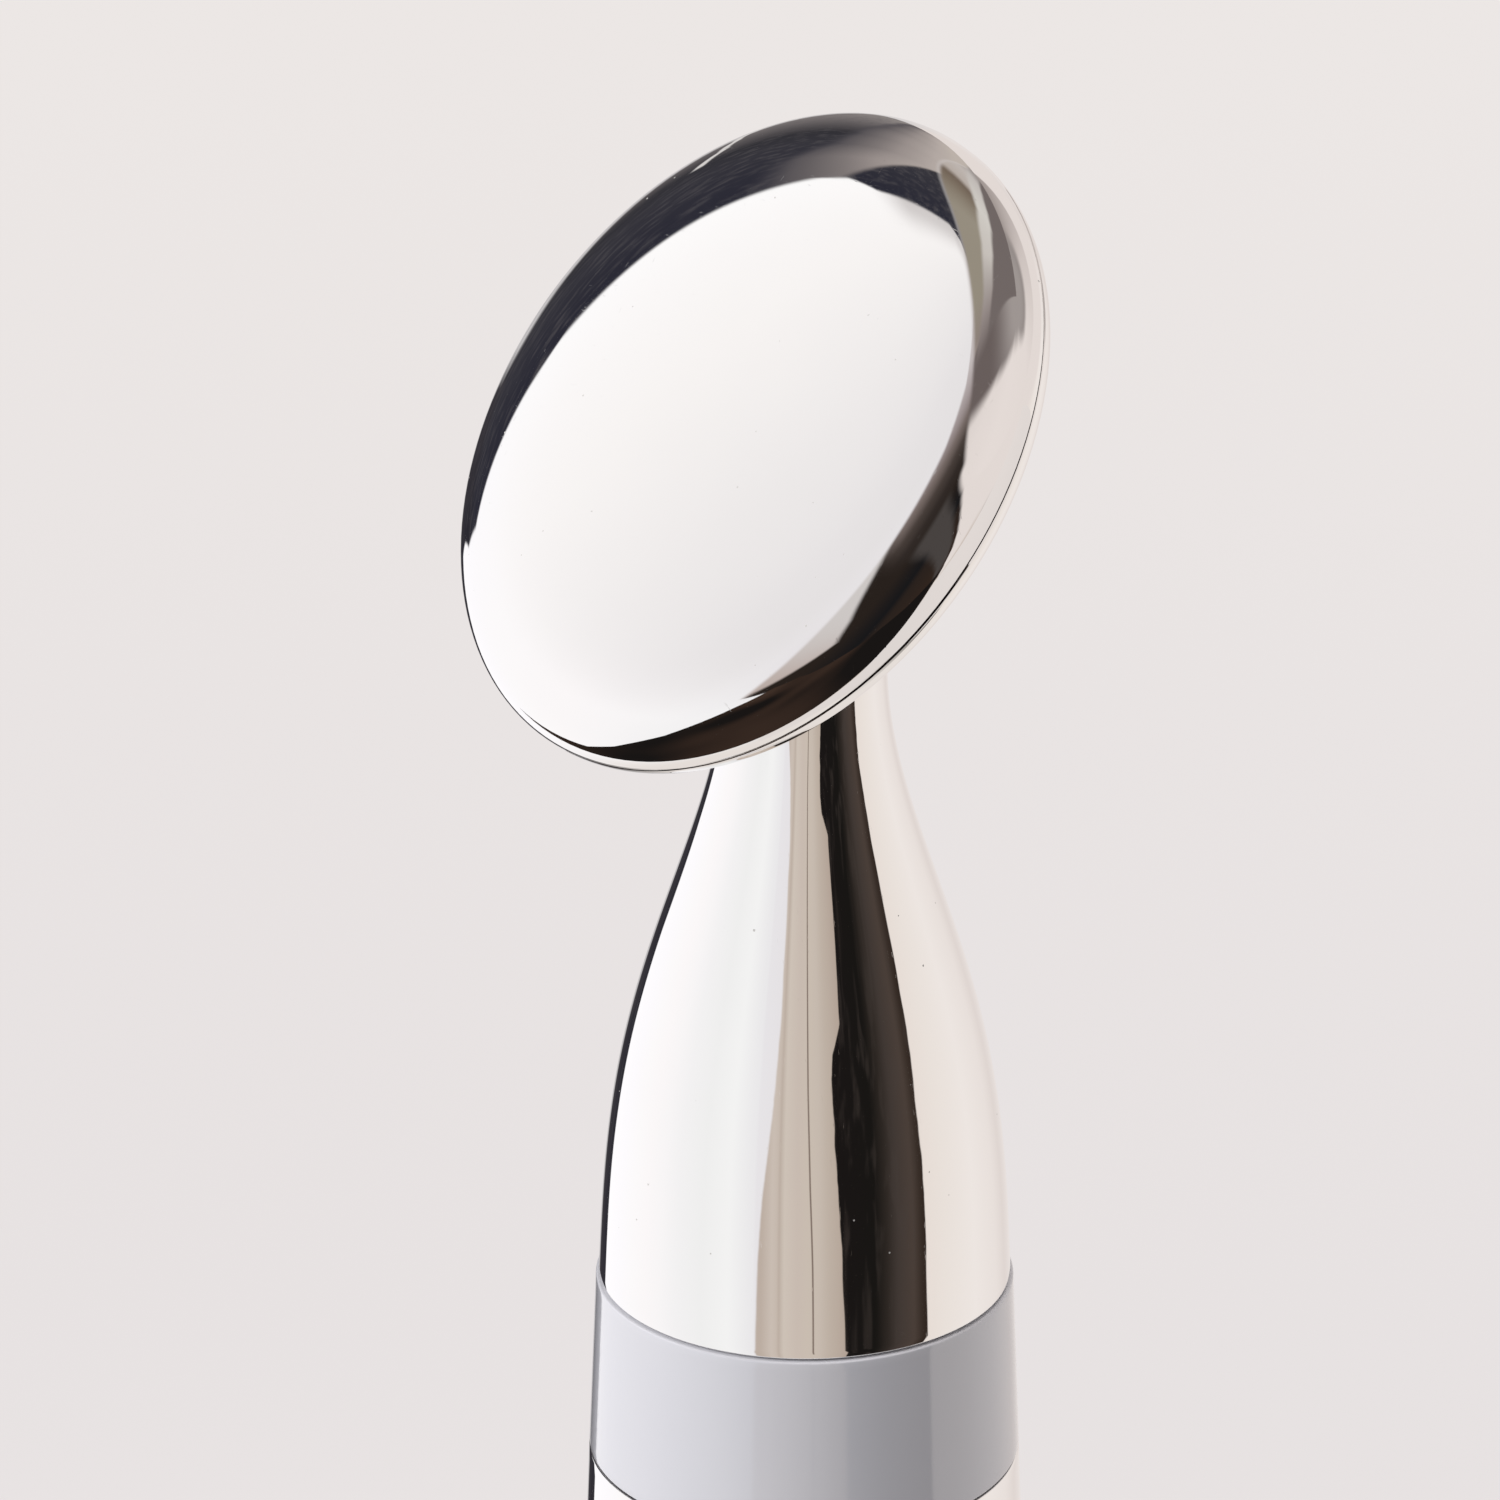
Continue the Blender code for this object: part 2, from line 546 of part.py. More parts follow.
def make_motor_holders(parent, looks):
    rod("motor_end_bell", MOTOR_RADIUS, BELL_BOTTOM, BELL_BOTTOM + BELL_HEIGHT,
        parent, looks["nylon"])
    washer("motor_sleeve", MOTOR_RADIUS + GAP, MOTOR_RADIUS + GAP + SLEEVE_WALL, BELL_BOTTOM,
           CAN_TOP - SLEEVE_SHORT, parent, looks["rubber"], SMALL_SIDES)
    for name, side in (("motor_terminal_positive", 1), ("motor_terminal_negative", -1)):
        middle = side * TERMINAL_SPREAD
        block(name, (middle - TERMINAL_THICK / 2, -TERMINAL_WIDTH / 2, TERMINAL_BOTTOM),
              (middle + TERMINAL_THICK / 2, TERMINAL_WIDTH / 2, TERMINAL_TOP),
              parent, looks["brass"])


# ---------------------------------------------------------------- contacts and leads
def make_contacts(parent, looks):
    profile = [(0.0, RIVET_BOTTOM), (RIVET_RADIUS, RIVET_BOTTOM)]
    profile += [(RIVET_RADIUS, RIVET_BOTTOM + RIVET_THICK)]
    profile += [(STEM_RADIUS, RIVET_BOTTOM + RIVET_THICK), (STEM_RADIUS, STEM_TOP), (0.0, STEM_TOP)]
    turned("positive_contact", profile, parent, looks["brass"], SMALL_SIDES)
    washer("ground_ring", LINER_BORE, SPIGOT_RADIUS, GROUND_RING_BOTTOM, GROUND_RING_TOP,
           parent, looks["spring_steel"])


def make_leads(parent, looks):
    """Positive lead from the rivet, negative lead up the slot and through the core."""
    end = TERMINAL_BOTTOM - GAP
    start = Vector((0.0, 0.0, STEM_TOP + GAP))
    goal = Vector((TERMINAL_SPREAD, 0.0, end))
    bend = (end - start.z) / 2
    points = [bezier(start, start + Vector((0, 0, bend)), goal - Vector((0, 0, bend)), goal, share)
              for share in spaced(0.0, 1.0, 10)]
    wire("positive_lead", points, LEAD_RADIUS, parent, looks["red_wire"])

    outside = -(SLOT_FLOOR + SPIGOT_RADIUS) / 2
    crossing = SLOT_TOP - LEAD_SLOT / 2
    low = Vector((outside, 0.0, SPIGOT_BOTTOM))
    corner = Vector((outside, 0.0, crossing - 2 * LEAD_RADIUS))
    inward = Vector((outside + 2 * LEAD_RADIUS, 0.0, crossing))
    inside = Vector((-CHAMBER_RADIUS, 0.0, crossing))
    goal = Vector((-TERMINAL_SPREAD, 0.0, end))
    rise = Vector((0.0, 0.0, LEAD_RADIUS))
    points = [low, (low + corner) / 2]
    points += [bezier(corner, corner + rise, inward - Vector((LEAD_RADIUS, 0, 0)), inward, share)
               for share in spaced(0.0, 1.0, 4)]
    reach = Vector((TERMINAL_SPREAD / 2, 0.0, 0.0))
    drop = Vector((0.0, 0.0, (end - crossing) / 2))
    points += [bezier(inside, inside + reach, goal - drop, goal, share)
               for share in spaced(0.0, 1.0, 8)]
    wire("negative_lead", points, LEAD_RADIUS, parent, looks["black_wire"])


# ---------------------------------------------------------------- handle and cell
def make_handle(parent, looks):
    profile = [(TUBE_BORE, TUBE_BOTTOM)] + body_outline(TUBE_BOTTOM, TUBE_TOP, 8)
    profile += [(TUBE_BORE, TUBE_TOP)]
    turned("handle_tube", profile, parent, looks["chrome"], ring=True)
    washer("battery_liner", LINER_BORE, LINER_BORE + LINER_WALL, CELL_BOTTOM, LINER_TOP,
           parent, looks["liner"])


def make_cell(parent, looks):
    rod("battery_cell", CELL_RADIUS, CELL_BOTTOM, CELL_TOP, parent, looks["cell"], SIDES)
    rod("battery_terminal", NUB_RADIUS, NUB_BOTTOM, NUB_TOP, parent, looks["steel"])


# ---------------------------------------------------------------- cap and spring
def make_end_cap(parent, looks):
    """Foot, screw cap and twist switch: a flat base, and a plug that enters the tube."""
    edge = body_radius(BASE_EDGE)
    profile = [(0.0, 0.0)]
    for degrees in (0.0, 22.5, 45.0, 67.5):
        angle = math.radians(degrees)
        profile.append((edge - BASE_EDGE * (1.0 - math.sin(angle)),
                        BASE_EDGE * (1.0 - math.cos(angle))))
    groove = SPIGOT_RADIUS - SEAL_DEPTH
    profile += body_outline(BASE_EDGE, CAP_HEIGHT, 3)
    profile += [(SPIGOT_RADIUS, CAP_HEIGHT), (SPIGOT_RADIUS, CAP_SEAL_BOTTOM)]
    profile += [(groove, CAP_SEAL_BOTTOM), (groove, CAP_SEAL_BOTTOM + SEAL_WIDTH)]
    profile += [(SPIGOT_RADIUS, CAP_SEAL_BOTTOM + SEAL_WIDTH), (SPIGOT_RADIUS, PLUG_TOP)]
    profile += [(PLUG_BORE, PLUG_TOP), (PLUG_BORE, CAP_FLOOR), (0.0, CAP_FLOOR)]
    turned("end_cap", profile, parent, looks["chrome"])
    o_ring("cap_o_ring", groove, CAP_SEAL_BOTTOM, parent, looks["rubber"])


def make_spring(parent, looks):
    """Conical spring between its plate and the cell's flat end."""
    plate_low = CAP_FLOOR + GAP
    plate_high = plate_low + SPRING_PLATE_THICK
    plate_radius = PLUG_BORE - TURNING_GAP
    rod("spring_plate", plate_radius, plate_low, plate_high, parent, looks["brass"])
    low = plate_high + GAP + SPRING_WIRE
    high = CELL_BOTTOM - GAP - SPRING_WIRE
    wide = plate_radius - 2 * SPRING_WIRE
    per_turn = 14
    points = []
    for step in range(SPRING_TURNS * per_turn + 1):
        share = step / (SPRING_TURNS * per_turn)
        angle = 2 * math.pi * step / per_turn
        radius = wide + (SPRING_TOP_RADIUS - wide) * share
        points.append(Vector((radius * math.cos(angle), radius * math.sin(angle),
                              low + (high - low) * share)))
    wire("contact_spring", points, SPRING_WIRE, parent, looks["spring_steel"], resolution=1)


def make_looks():
    return {
        "chrome": material("chrome", (0.82, 0.82, 0.83), 0.05, 1.0),
        "plastic": material("grey_plastic", (0.66, 0.66, 0.69), 0.22, 0.0),
        "rubber": material("black_rubber", (0.03, 0.03, 0.03), 0.7, 0.0),
        "gasket": material("clear_silicone", (0.55, 0.55, 0.55), 0.5, 0.0),
        "steel": material("plain_steel", (0.62, 0.62, 0.63), 0.3, 1.0),
        "can": material("motor_steel", (0.7, 0.7, 0.7), 0.35, 1.0),
        "ferrite": material("ferrite", (0.08, 0.08, 0.09), 0.6, 0.0),
        "bronze": material("sintered_bronze", (0.6, 0.4, 0.2), 0.5, 1.0),
        "carbon": material("carbon", (0.04, 0.04, 0.04), 0.6, 0.0),
        "copper": material("copper_winding", (0.75, 0.35, 0.18), 0.4, 1.0),
        "brass": material("brass", (0.8, 0.62, 0.3), 0.3, 1.0),
        "tungsten": material("weight_metal", (0.4, 0.4, 0.42), 0.45, 1.0),
        "nylon": material("nylon", (0.85, 0.85, 0.82), 0.5, 0.0),
        "spring_steel": material("spring_steel", (0.7, 0.7, 0.72), 0.25, 1.0),
        "red_wire": material("red_insulation", (0.6, 0.03, 0.03), 0.45, 0.0),
        "black_wire": material("black_insulation", (0.02, 0.02, 0.02), 0.45, 0.0),
        "liner": material("liner_plastic", (0.8, 0.8, 0.8), 0.5, 0.0),
        "cell": material("cell_sleeve", (0.1, 0.25, 0.3), 0.35, 0.0),
    }


def main():
    clear_scene()
    looks = make_looks()
    wand = pivot("wand", 0.0)
    rotor = pivot("rotor_axis", CAN_BOTTOM, wand)
    carrier = pivot("cap_travel_axis", TUBE_BOTTOM, wand)
    cap = pivot("cap_turn_axis", TUBE_BOTTOM, carrier)

    make_massage_plate(wand, looks["chrome"])
    make_plate_gasket(wand, looks["gasket"])
    make_head_shell(wand, looks["chrome"])
    make_insulating_core(wand, looks["plastic"])
    make_seals(wand, looks["rubber"])
    make_motor_can(wand, looks["can"])
    make_motor_inside(wand, rotor, looks)
    make_motor_holders(wand, looks)
    make_contacts(wand, looks)
    make_leads(wand, looks)
    make_handle(wand, looks)
    make_cell(wand, looks)
    make_spring(carrier, looks)
    make_end_cap(cap, looks)


main()
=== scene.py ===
"""Facial massage wand: the visual model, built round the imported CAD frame.

Shapes are given in millimetres in the wand's frame, which is the CAD's: +Z up the
handle, origin under the foot, the disc's face along -Y and upwards.
"""
import math

import bmesh
import bpy
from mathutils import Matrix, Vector

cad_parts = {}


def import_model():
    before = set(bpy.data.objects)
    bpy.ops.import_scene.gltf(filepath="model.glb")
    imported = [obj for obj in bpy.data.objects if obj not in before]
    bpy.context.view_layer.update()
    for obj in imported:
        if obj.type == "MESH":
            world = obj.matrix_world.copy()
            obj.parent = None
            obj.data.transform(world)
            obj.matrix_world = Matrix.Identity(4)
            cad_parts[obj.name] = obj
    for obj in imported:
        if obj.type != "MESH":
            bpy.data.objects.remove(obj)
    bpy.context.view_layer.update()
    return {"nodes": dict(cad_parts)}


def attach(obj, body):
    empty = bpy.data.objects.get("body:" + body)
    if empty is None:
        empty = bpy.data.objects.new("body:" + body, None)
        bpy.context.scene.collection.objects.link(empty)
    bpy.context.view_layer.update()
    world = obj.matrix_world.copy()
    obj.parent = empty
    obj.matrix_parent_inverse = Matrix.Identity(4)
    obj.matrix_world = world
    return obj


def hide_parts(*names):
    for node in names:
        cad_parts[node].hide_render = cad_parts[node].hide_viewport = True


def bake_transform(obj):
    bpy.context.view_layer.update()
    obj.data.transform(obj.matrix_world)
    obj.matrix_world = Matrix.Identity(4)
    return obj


MM = 0.001

# ---- sizes, as in the CAD
COLLAR_BOTTOM, COLLAR_TOP = 80.0, 90.1
SHOULDER_RISE, NECK_TOP = 35.0, 125.1
NECK_RADIUS, SHOULDER_POWER = 4.2, 1.5
HEAD_RADIUS, HEAD_BORE, HEAD_WALL = 11.0, 9.5, 1.2
BODY_TAPER = 0.0416
COLLAR_TOP_RADIUS, COLLAR_BOTTOM_RADIUS = 11.15, 11.57016
BELLY_RADIUS, BELLY_HEIGHT, BASE_RADIUS = 12.30016, 45.0, 10.8
CAP_HEIGHT, PLUG_TOP = 12.0, 17.5
TUBE_BORE, SPIGOT_RADIUS, PLUG_BORE = 8.9, 8.6, 6.85
CAP_FLOOR, BASE_EDGE = 6.0, 1.5
SPIGOT_BOTTOM, SPIGOT_TOP, UPPER_SPIGOT_RADIUS = 67.45, 97.1, 9.2
POCKET_RADIUS, POCKET_FLOOR = 7.5, 83.0
CHAMBER_RADIUS, CHAMBER_BOTTOM = 5.5, 71.7
RECESS_RADIUS, PARTITION_BOTTOM, RIVET_HOLE = 4.7, 69.7, 1.4
CAVITY_ROOF = 116.1
SEAL_WIRE, SEAL_GAP = 0.35, 0.3  # radius of an O-ring's wire, and the room below it
SEAL_DEPTH, SEAL_WIDTH = 1.0, 1.3  # an O-ring's groove
CAP_SEAL_BOTTOM, LOWER_SEAL_BOTTOM, UPPER_SEAL_BOTTOM = 13.1, 77.6, 91.2
DISC_RADIUS, DISC_TILT = 18.4, math.radians(39.5)
PLATE_CROWN, BEVEL_RISE, BEVEL_POWER = 0.9, 2.0, 9.0
PLATE_WALL, LIP_RADIUS, LIP_WALL, LIP_DEPTH = 1.0, 14.4, 1.0, 0.9
SEAT_DEPTH = 1.9
PLATE_BACK, RIM_START = 0.12, 0.3  # depths behind the disc's widest circle
RIM_ROUND, RIM_ANGLE, BACK_SLOPE = 1.0, math.radians(65), math.radians(25)
FLARE_FROM_NECK, FLARE_FROM_RIM, FLARE_LEAN = 7.0, 8.0, 2.0
DISC_CENTRE = Vector((0.0, -3.9, 138.3))
DISC_NORMAL = Vector((0.0, -math.cos(DISC_TILT), math.sin(DISC_TILT)))
DISC_UP = Vector((0.0, math.sin(DISC_TILT), math.cos(DISC_TILT)))
DISC_RIGHT = Vector((1.0, 0.0, 0.0))
LEAD_SLOTS = [((-9.6, -0.75, 66.4), (-7.1, 0.75, 76.6)),  # low and high corners
              ((-9.6, -0.75, 75.1), (-4.5, 0.75, 76.6))]
CELL_SHOULDER = 56.0  # where the cell's copper-toned band starts

# ---- visible seams and edges
SEAM = 0.12  # open line between shells that meet
EDGE = 0.10  # rounding of a shell's visible edge
RIM_SEAM = 0.04  # open line between the disc's plate and its back
SIDES = 144  # sides of everything round
THREAD_PITCH, THREAD_HEIGHT = 1.3, 0.2
SHARP_ANGLE = math.radians(38)  # above it, an edge is shaded sharp
MERGE = 0.0002  # vertices closer than this are one

# ---- camera and light
VIEW_AZIMUTH, VIEW_ELEVATION = 50.9, 22.6
VIEW_DISTANCE, VIEW_HEIGHT, AXIS_OFFSET = 416.0, 120.1, 2.92
LENS, SENSOR = 192.0, 36.0
PANEL_AIM = 0.09  # height in metres that the soft panels face
PANEL_DISTANCE, PANEL_SIZE = 0.9, 0.7
CHROME_TINT = (0.935, 0.93, 0.925)
CHROME_GAIN = 0.93  # share of the light that the chrome gives back


# ---- form of the body
def shoulder_radius(rise):
    """Outer radius of shoulder and neck at a rise above the collar."""
    share = min(max(rise, 0.0) / SHOULDER_RISE, 1.0)
    fullness = (1.0 + math.cos(math.pi * share ** SHOULDER_POWER)) / 2.0
    return NECK_RADIUS + (HEAD_RADIUS - BODY_TAPER * rise - NECK_RADIUS) * fullness


def body_radius(height):
    """Outer radius of cap, handle, collar and shoulder at a height."""
    if height > COLLAR_TOP + 0.05:
        return shoulder_radius(height - COLLAR_TOP)
    if height >= COLLAR_BOTTOM:
        share = (height - COLLAR_BOTTOM) / (COLLAR_TOP - COLLAR_BOTTOM)
        return COLLAR_BOTTOM_RADIUS + (COLLAR_TOP_RADIUS - COLLAR_BOTTOM_RADIUS) * share
    if height >= BELLY_HEIGHT:
        share = (height - BELLY_HEIGHT) / (COLLAR_BOTTOM - BELLY_HEIGHT)
        return BELLY_RADIUS + (COLLAR_BOTTOM_RADIUS - BELLY_RADIUS) * share ** 2
    share = (BELLY_HEIGHT - height) / BELLY_HEIGHT
    return BELLY_RADIUS + (BASE_RADIUS - BELLY_RADIUS) * share ** 2


def plate_rise(radius):
    """Height of the disc's front over its widest circle: low crown and rolled bevel."""
    share = radius / DISC_RADIUS
    crown = PLATE_CROWN * (1.0 - share ** 2)
    return crown + BEVEL_RISE * max(1.0 - share ** BEVEL_POWER, 0.0) ** 0.5


def spaced(low, high, count):
    return [low + (high - low) * step / count for step in range(count + 1)]


def body_outline(low, high, count):
    return [(body_radius(height), height) for height in spaced(low, high, count)]


def disc_point(across, angle, forward):
    """Point at a radius and an angle on the disc, and a distance before it."""
    flat = DISC_RIGHT * math.cos(angle) + DISC_UP * math.sin(angle)
    return DISC_CENTRE + flat * across + DISC_NORMAL * forward


def bezier(start, start_handle, end_handle, end, share):
    rest = 1.0 - share
    return (start * rest ** 3 + start_handle * 3 * rest ** 2 * share
            + end_handle * 3 * rest * share ** 2 + end * share ** 3)


def angles(sides=SIDES):
    return [2 * math.pi * step / sides for step in range(sides)]


def filleted(profile, radii, steps=4, ring=True):
    """Round the corners of an outline. radii maps a corner's index to its radius."""
    count = len(profile)
    result = []
    for index, point in enumerate(profile):
        radius = radii.get(index, 0.0)
        if not radius or (not ring and index in (0, count - 1)):
            result.append(point)
            continue
        here = Vector(point)
        before = Vector(profile[(index - 1) % count]) - here
        after = Vector(profile[(index + 1) % count]) - here
        reach = min(radius, 0.45 * before.length, 0.45 * after.length)
        first, last = here + before.normalized() * reach, here + after.normalized() * reach
        for share in spaced(0.0, 1.0, steps):
            rest = 1.0 - share
            result.append(tuple(first * rest ** 2 + here * 2 * rest * share + last * share ** 2))
    return result


# ---- making pieces
def add_object(name, builder):
    mesh = bpy.data.meshes.new(name)
    builder.to_mesh(mesh)
    builder.free()
    made = bpy.data.objects.new(name, mesh)
    bpy.context.scene.collection.objects.link(made)
    return made


def add_piece(name, builder, look, body, replaces=()):
    """Finish a piece that was built in millimetres, attach it to its body and hide the CAD parts
    that it replaces.
    """
    bmesh.ops.remove_doubles(builder, verts=builder.verts, dist=MERGE)
    bmesh.ops.recalc_face_normals(builder, faces=builder.faces)
    for vert in builder.verts:
        vert.co = vert.co * MM
    piece = add_object(name, builder)
    piece.data.materials.append(look)
    piece.data.shade_smooth()
    piece.data.set_sharp_from_angle(angle=SHARP_ANGLE)
    if body:
        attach(piece, body)
    if replaces:
        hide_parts(*replaces)
    return piece


def lathe(profile, ring=True, sides=SIDES):
    """Body of revolution about the wand's axis from a (radius, height) outline."""
    builder = bmesh.new()
    loops = []
    for radius, height in profile:
        if radius < 1e-6:
            loops.append([builder.verts.new((0.0, 0.0, height))])
        else:
            loops.append([builder.verts.new((radius * math.cos(a), radius * math.sin(a), height))
                          for a in angles(sides)])
    join_loops(builder, loops, ring)
    return builder


def join_loops(builder, loops, ring):
    """Faces between each loop and the next, and from the last to the first in a ring."""
    pairs = list(zip(loops, loops[1:]))
    if ring:
        pairs.append((loops[-1], loops[0]))
    for lower, upper in pairs:
        count = max(len(lower), len(upper))
        for i in range(count):
            j = (i + 1) % count
            corners = [lower[i % len(lower)], lower[j % len(lower)],
                       upper[j % len(upper)], upper[i % len(upper)]]
            face = list(dict.fromkeys(corners))
            if len(face) > 2:
                builder.faces.new(face)


def skin(rings, first_centre, last_centre):
    """Skin over rings of equal count, with a fan at each end."""
    builder = bmesh.new()
    loops = [[builder.verts.new(first_centre)]]
    loops += [[builder.verts.new(point) for point in ring] for ring in rings]
    loops.append([builder.verts.new(last_centre)])
    join_loops(builder, loops, ring=False)
    return builder


def cap_ends(builder, loops):
    builder.faces.new(loops[0])
    builder.faces.new(list(reversed(loops[-1])))


def level_ring(radius, height):
    return [Vector((radius * math.cos(a), radius * math.sin(a), height)) for a in angles()]


def disc_ring(across, forward):
    return [disc_point(across, a, forward) for a in angles()]


# ---- pieces of the head
def make_plate(look):
    """Dished front of the disc: nearly flat middle, rolled bevel, thin turned-in edge."""
    front = [(share * DISC_RADIUS, plate_rise(share * DISC_RADIUS))
             for share in spaced(0.0, 0.74, 26)[1:]]
    start = math.asin(0.75 ** (BEVEL_POWER / 2))
    for turn in spaced(start, math.pi / 2, 72):
        share = math.sin(turn) ** (2 / BEVEL_POWER)
        front.append((share * DISC_RADIUS, plate_rise(share * DISC_RADIUS)))
    front[-1] = (DISC_RADIUS, 0.0)
    back = [(DISC_RADIUS, -0.04), (DISC_RADIUS - 0.05, -0.10), (DISC_RADIUS - 0.12, -PLATE_BACK),
            (LIP_RADIUS + 0.2, -PLATE_BACK), (LIP_RADIUS, -0.2), (LIP_RADIUS, -LIP_DEPTH)]
    inner = LIP_RADIUS - LIP_WALL
    back += [(inner, -LIP_DEPTH)]
    back += [(inner * share, plate_rise(inner * share) - PLATE_WALL)
             for share in (1.0, 0.9, 0.75, 0.6, 0.45, 0.3, 0.15)]
    rings = [disc_ring(across, forward) for across, forward in front + back]
    builder = skin(rings, disc_point(0.0, 0.0, plate_rise(0.0)),
                   disc_point(0.0, 0.0, plate_rise(0.0) - PLATE_WALL))
    return add_piece("disc_face", builder, look, "wand", ["massage_plate"])


def flare_ring(share):
    """Ring of the fillet between the slim neck and the back of the disc's rim."""
    across = DISC_RADIUS - RIM_ROUND * (1.0 - math.cos(RIM_ANGLE))
    forward = -RIM_START - RIM_ROUND * math.sin(RIM_ANGLE)
    ring = []
    for angle in angles():
        radius = body_radius(NECK_TOP)
        start = Vector((radius * math.cos(angle), radius * math.sin(angle), NECK_TOP))
        end = disc_point(across, angle, forward)
        outward = disc_point(1.0, angle, 0.0) - DISC_CENTRE
        arrival = outward * math.cos(BACK_SLOPE) + DISC_NORMAL * math.sin(BACK_SLOPE)
        climb = FLARE_FROM_NECK + FLARE_LEAN * math.sin(angle)
        ring.append(bezier(start, start + Vector((0.0, 0.0, climb)),
                           end - arrival * FLARE_FROM_RIM, end, share))
    return ring


def make_head(look):
    """Shoulder, neck and back of the disc in one polished casting."""
    low = COLLAR_TOP + SEAM
    cavity = [(min(HEAD_BORE, body_radius(height) - HEAD_WALL), height)
              for height in spaced(SPIGOT_TOP + 0.3, CAVITY_ROOF, 12)]
    rings = [level_ring(*point) for point in reversed(cavity)]
    rings += [level_ring(HEAD_BORE, low + 0.1), level_ring(HEAD_BORE + 0.1, low)]
    edge = body_radius(low + EDGE)
    for turn in spaced(0.0, math.pi / 2, 5):
        rings.append(level_ring(edge - EDGE * (1 - math.sin(turn)),
                                low + EDGE * (1 - math.cos(turn))))
    rings += [level_ring(*point) for point in body_outline(low + EDGE, NECK_TOP, 110)[1:]]
    rings += [flare_ring(share) for share in spaced(0.0, 1.0, 60)[1:]]
    for angle in spaced(RIM_ANGLE, 0.0, 12)[1:]:
        across = DISC_RADIUS - RIM_ROUND * (1.0 - math.cos(angle))
        rings.append(disc_ring(across, -RIM_START - RIM_ROUND * math.sin(angle)))
    face = -PLATE_BACK - RIM_SEAM
    rings += [disc_ring(DISC_RADIUS, face - 0.04), disc_ring(DISC_RADIUS - 0.04, face)]
    seat = LIP_RADIUS + 0.3
    rings += [disc_ring(seat, face), disc_ring(seat, -SEAT_DEPTH)]
    builder = skin(rings, Vector((0.0, 0.0, CAVITY_ROOF)), disc_point(0.0, 0.0, -SEAT_DEPTH))
    return add_piece("head_casting", builder, look, "wand", ["head_shell"])


# ---- collar, handle, cap
def make_collar(look):
    """Grey collar and the core that runs from it into the head and the handle."""
    lower_groove = SPIGOT_RADIUS - SEAL_DEPTH
    upper_groove = UPPER_SPIGOT_RADIUS - SEAL_DEPTH
    top, bottom = COLLAR_TOP, COLLAR_BOTTOM
    profile = [(RECESS_RADIUS, SPIGOT_BOTTOM), (SPIGOT_RADIUS, SPIGOT_BOTTOM),
               (SPIGOT_RADIUS, LOWER_SEAL_BOTTOM), (lower_groove, LOWER_SEAL_BOTTOM),
               (lower_groove, LOWER_SEAL_BOTTOM + SEAL_WIDTH),
               (SPIGOT_RADIUS, LOWER_SEAL_BOTTOM + SEAL_WIDTH), (SPIGOT_RADIUS, bottom)]
    visible = len(profile)
    profile += body_outline(bottom, top, 20)
    last = len(profile) - 1
    profile += [(UPPER_SPIGOT_RADIUS, top), (UPPER_SPIGOT_RADIUS, UPPER_SEAL_BOTTOM),
                (upper_groove, UPPER_SEAL_BOTTOM),
                (upper_groove, UPPER_SEAL_BOTTOM + SEAL_WIDTH),
                (UPPER_SPIGOT_RADIUS, UPPER_SEAL_BOTTOM + SEAL_WIDTH),
                (UPPER_SPIGOT_RADIUS, SPIGOT_TOP), (POCKET_RADIUS, SPIGOT_TOP),
                (POCKET_RADIUS, POCKET_FLOOR), (CHAMBER_RADIUS, POCKET_FLOOR),
                (CHAMBER_RADIUS, CHAMBER_BOTTOM), (RIVET_HOLE, CHAMBER_BOTTOM),
                (RIVET_HOLE, PARTITION_BOTTOM), (RECESS_RADIUS, PARTITION_BOTTOM)]
    radii = {visible: 0.12, last: 0.12, 1: 0.4, last + 6: 0.3, last + 7: 0.3}
    piece = add_piece("collar_core", lathe(filleted(profile, radii)), look, None,
                      ["insulating_core"])
    for low, high in LEAD_SLOTS:
        cut_box(piece, low, high)
    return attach(piece, "wand")


def cut_box(piece, low, high):
    """Cut a box, given by two corners, out of a piece."""
    builder = bmesh.new()
    bmesh.ops.create_cube(builder, size=1.0)
    low, high = Vector(low), Vector(high)
    for vert in builder.verts:
        vert.co = Vector([(low[i] + (vert.co[i] + 0.5) * (high[i] - low[i])) * MM
                          for i in range(3)])
    cutter = add_object("cutter", builder)
    boolean = piece.modifiers.new("cut", "BOOLEAN")
    boolean.operation, boolean.solver, boolean.object = "DIFFERENCE", "EXACT", cutter
    bpy.context.view_layer.update()
    evaluated = piece.evaluated_get(bpy.context.evaluated_depsgraph_get())
    result = bpy.data.meshes.new_from_object(evaluated)
    piece.modifiers.clear()
    result.name = piece.name
    piece.data = result
    bpy.data.objects.remove(cutter, do_unlink=True)


def make_handle(look):
    """Chromed tube from the cap to the collar."""
    top, bottom = COLLAR_BOTTOM - SEAM, CAP_HEIGHT + SEAM
    profile = [(TUBE_BORE, bottom)] + body_outline(bottom, top, 90) + [(TUBE_BORE, top)]
    last = len(profile) - 2
    radii = {0: 0.2, 1: EDGE, last: EDGE, last + 1: 0.2}
    return add_piece("handle_body", lathe(filleted(profile, radii)), look, "wand",
                     ["handle_tube"])


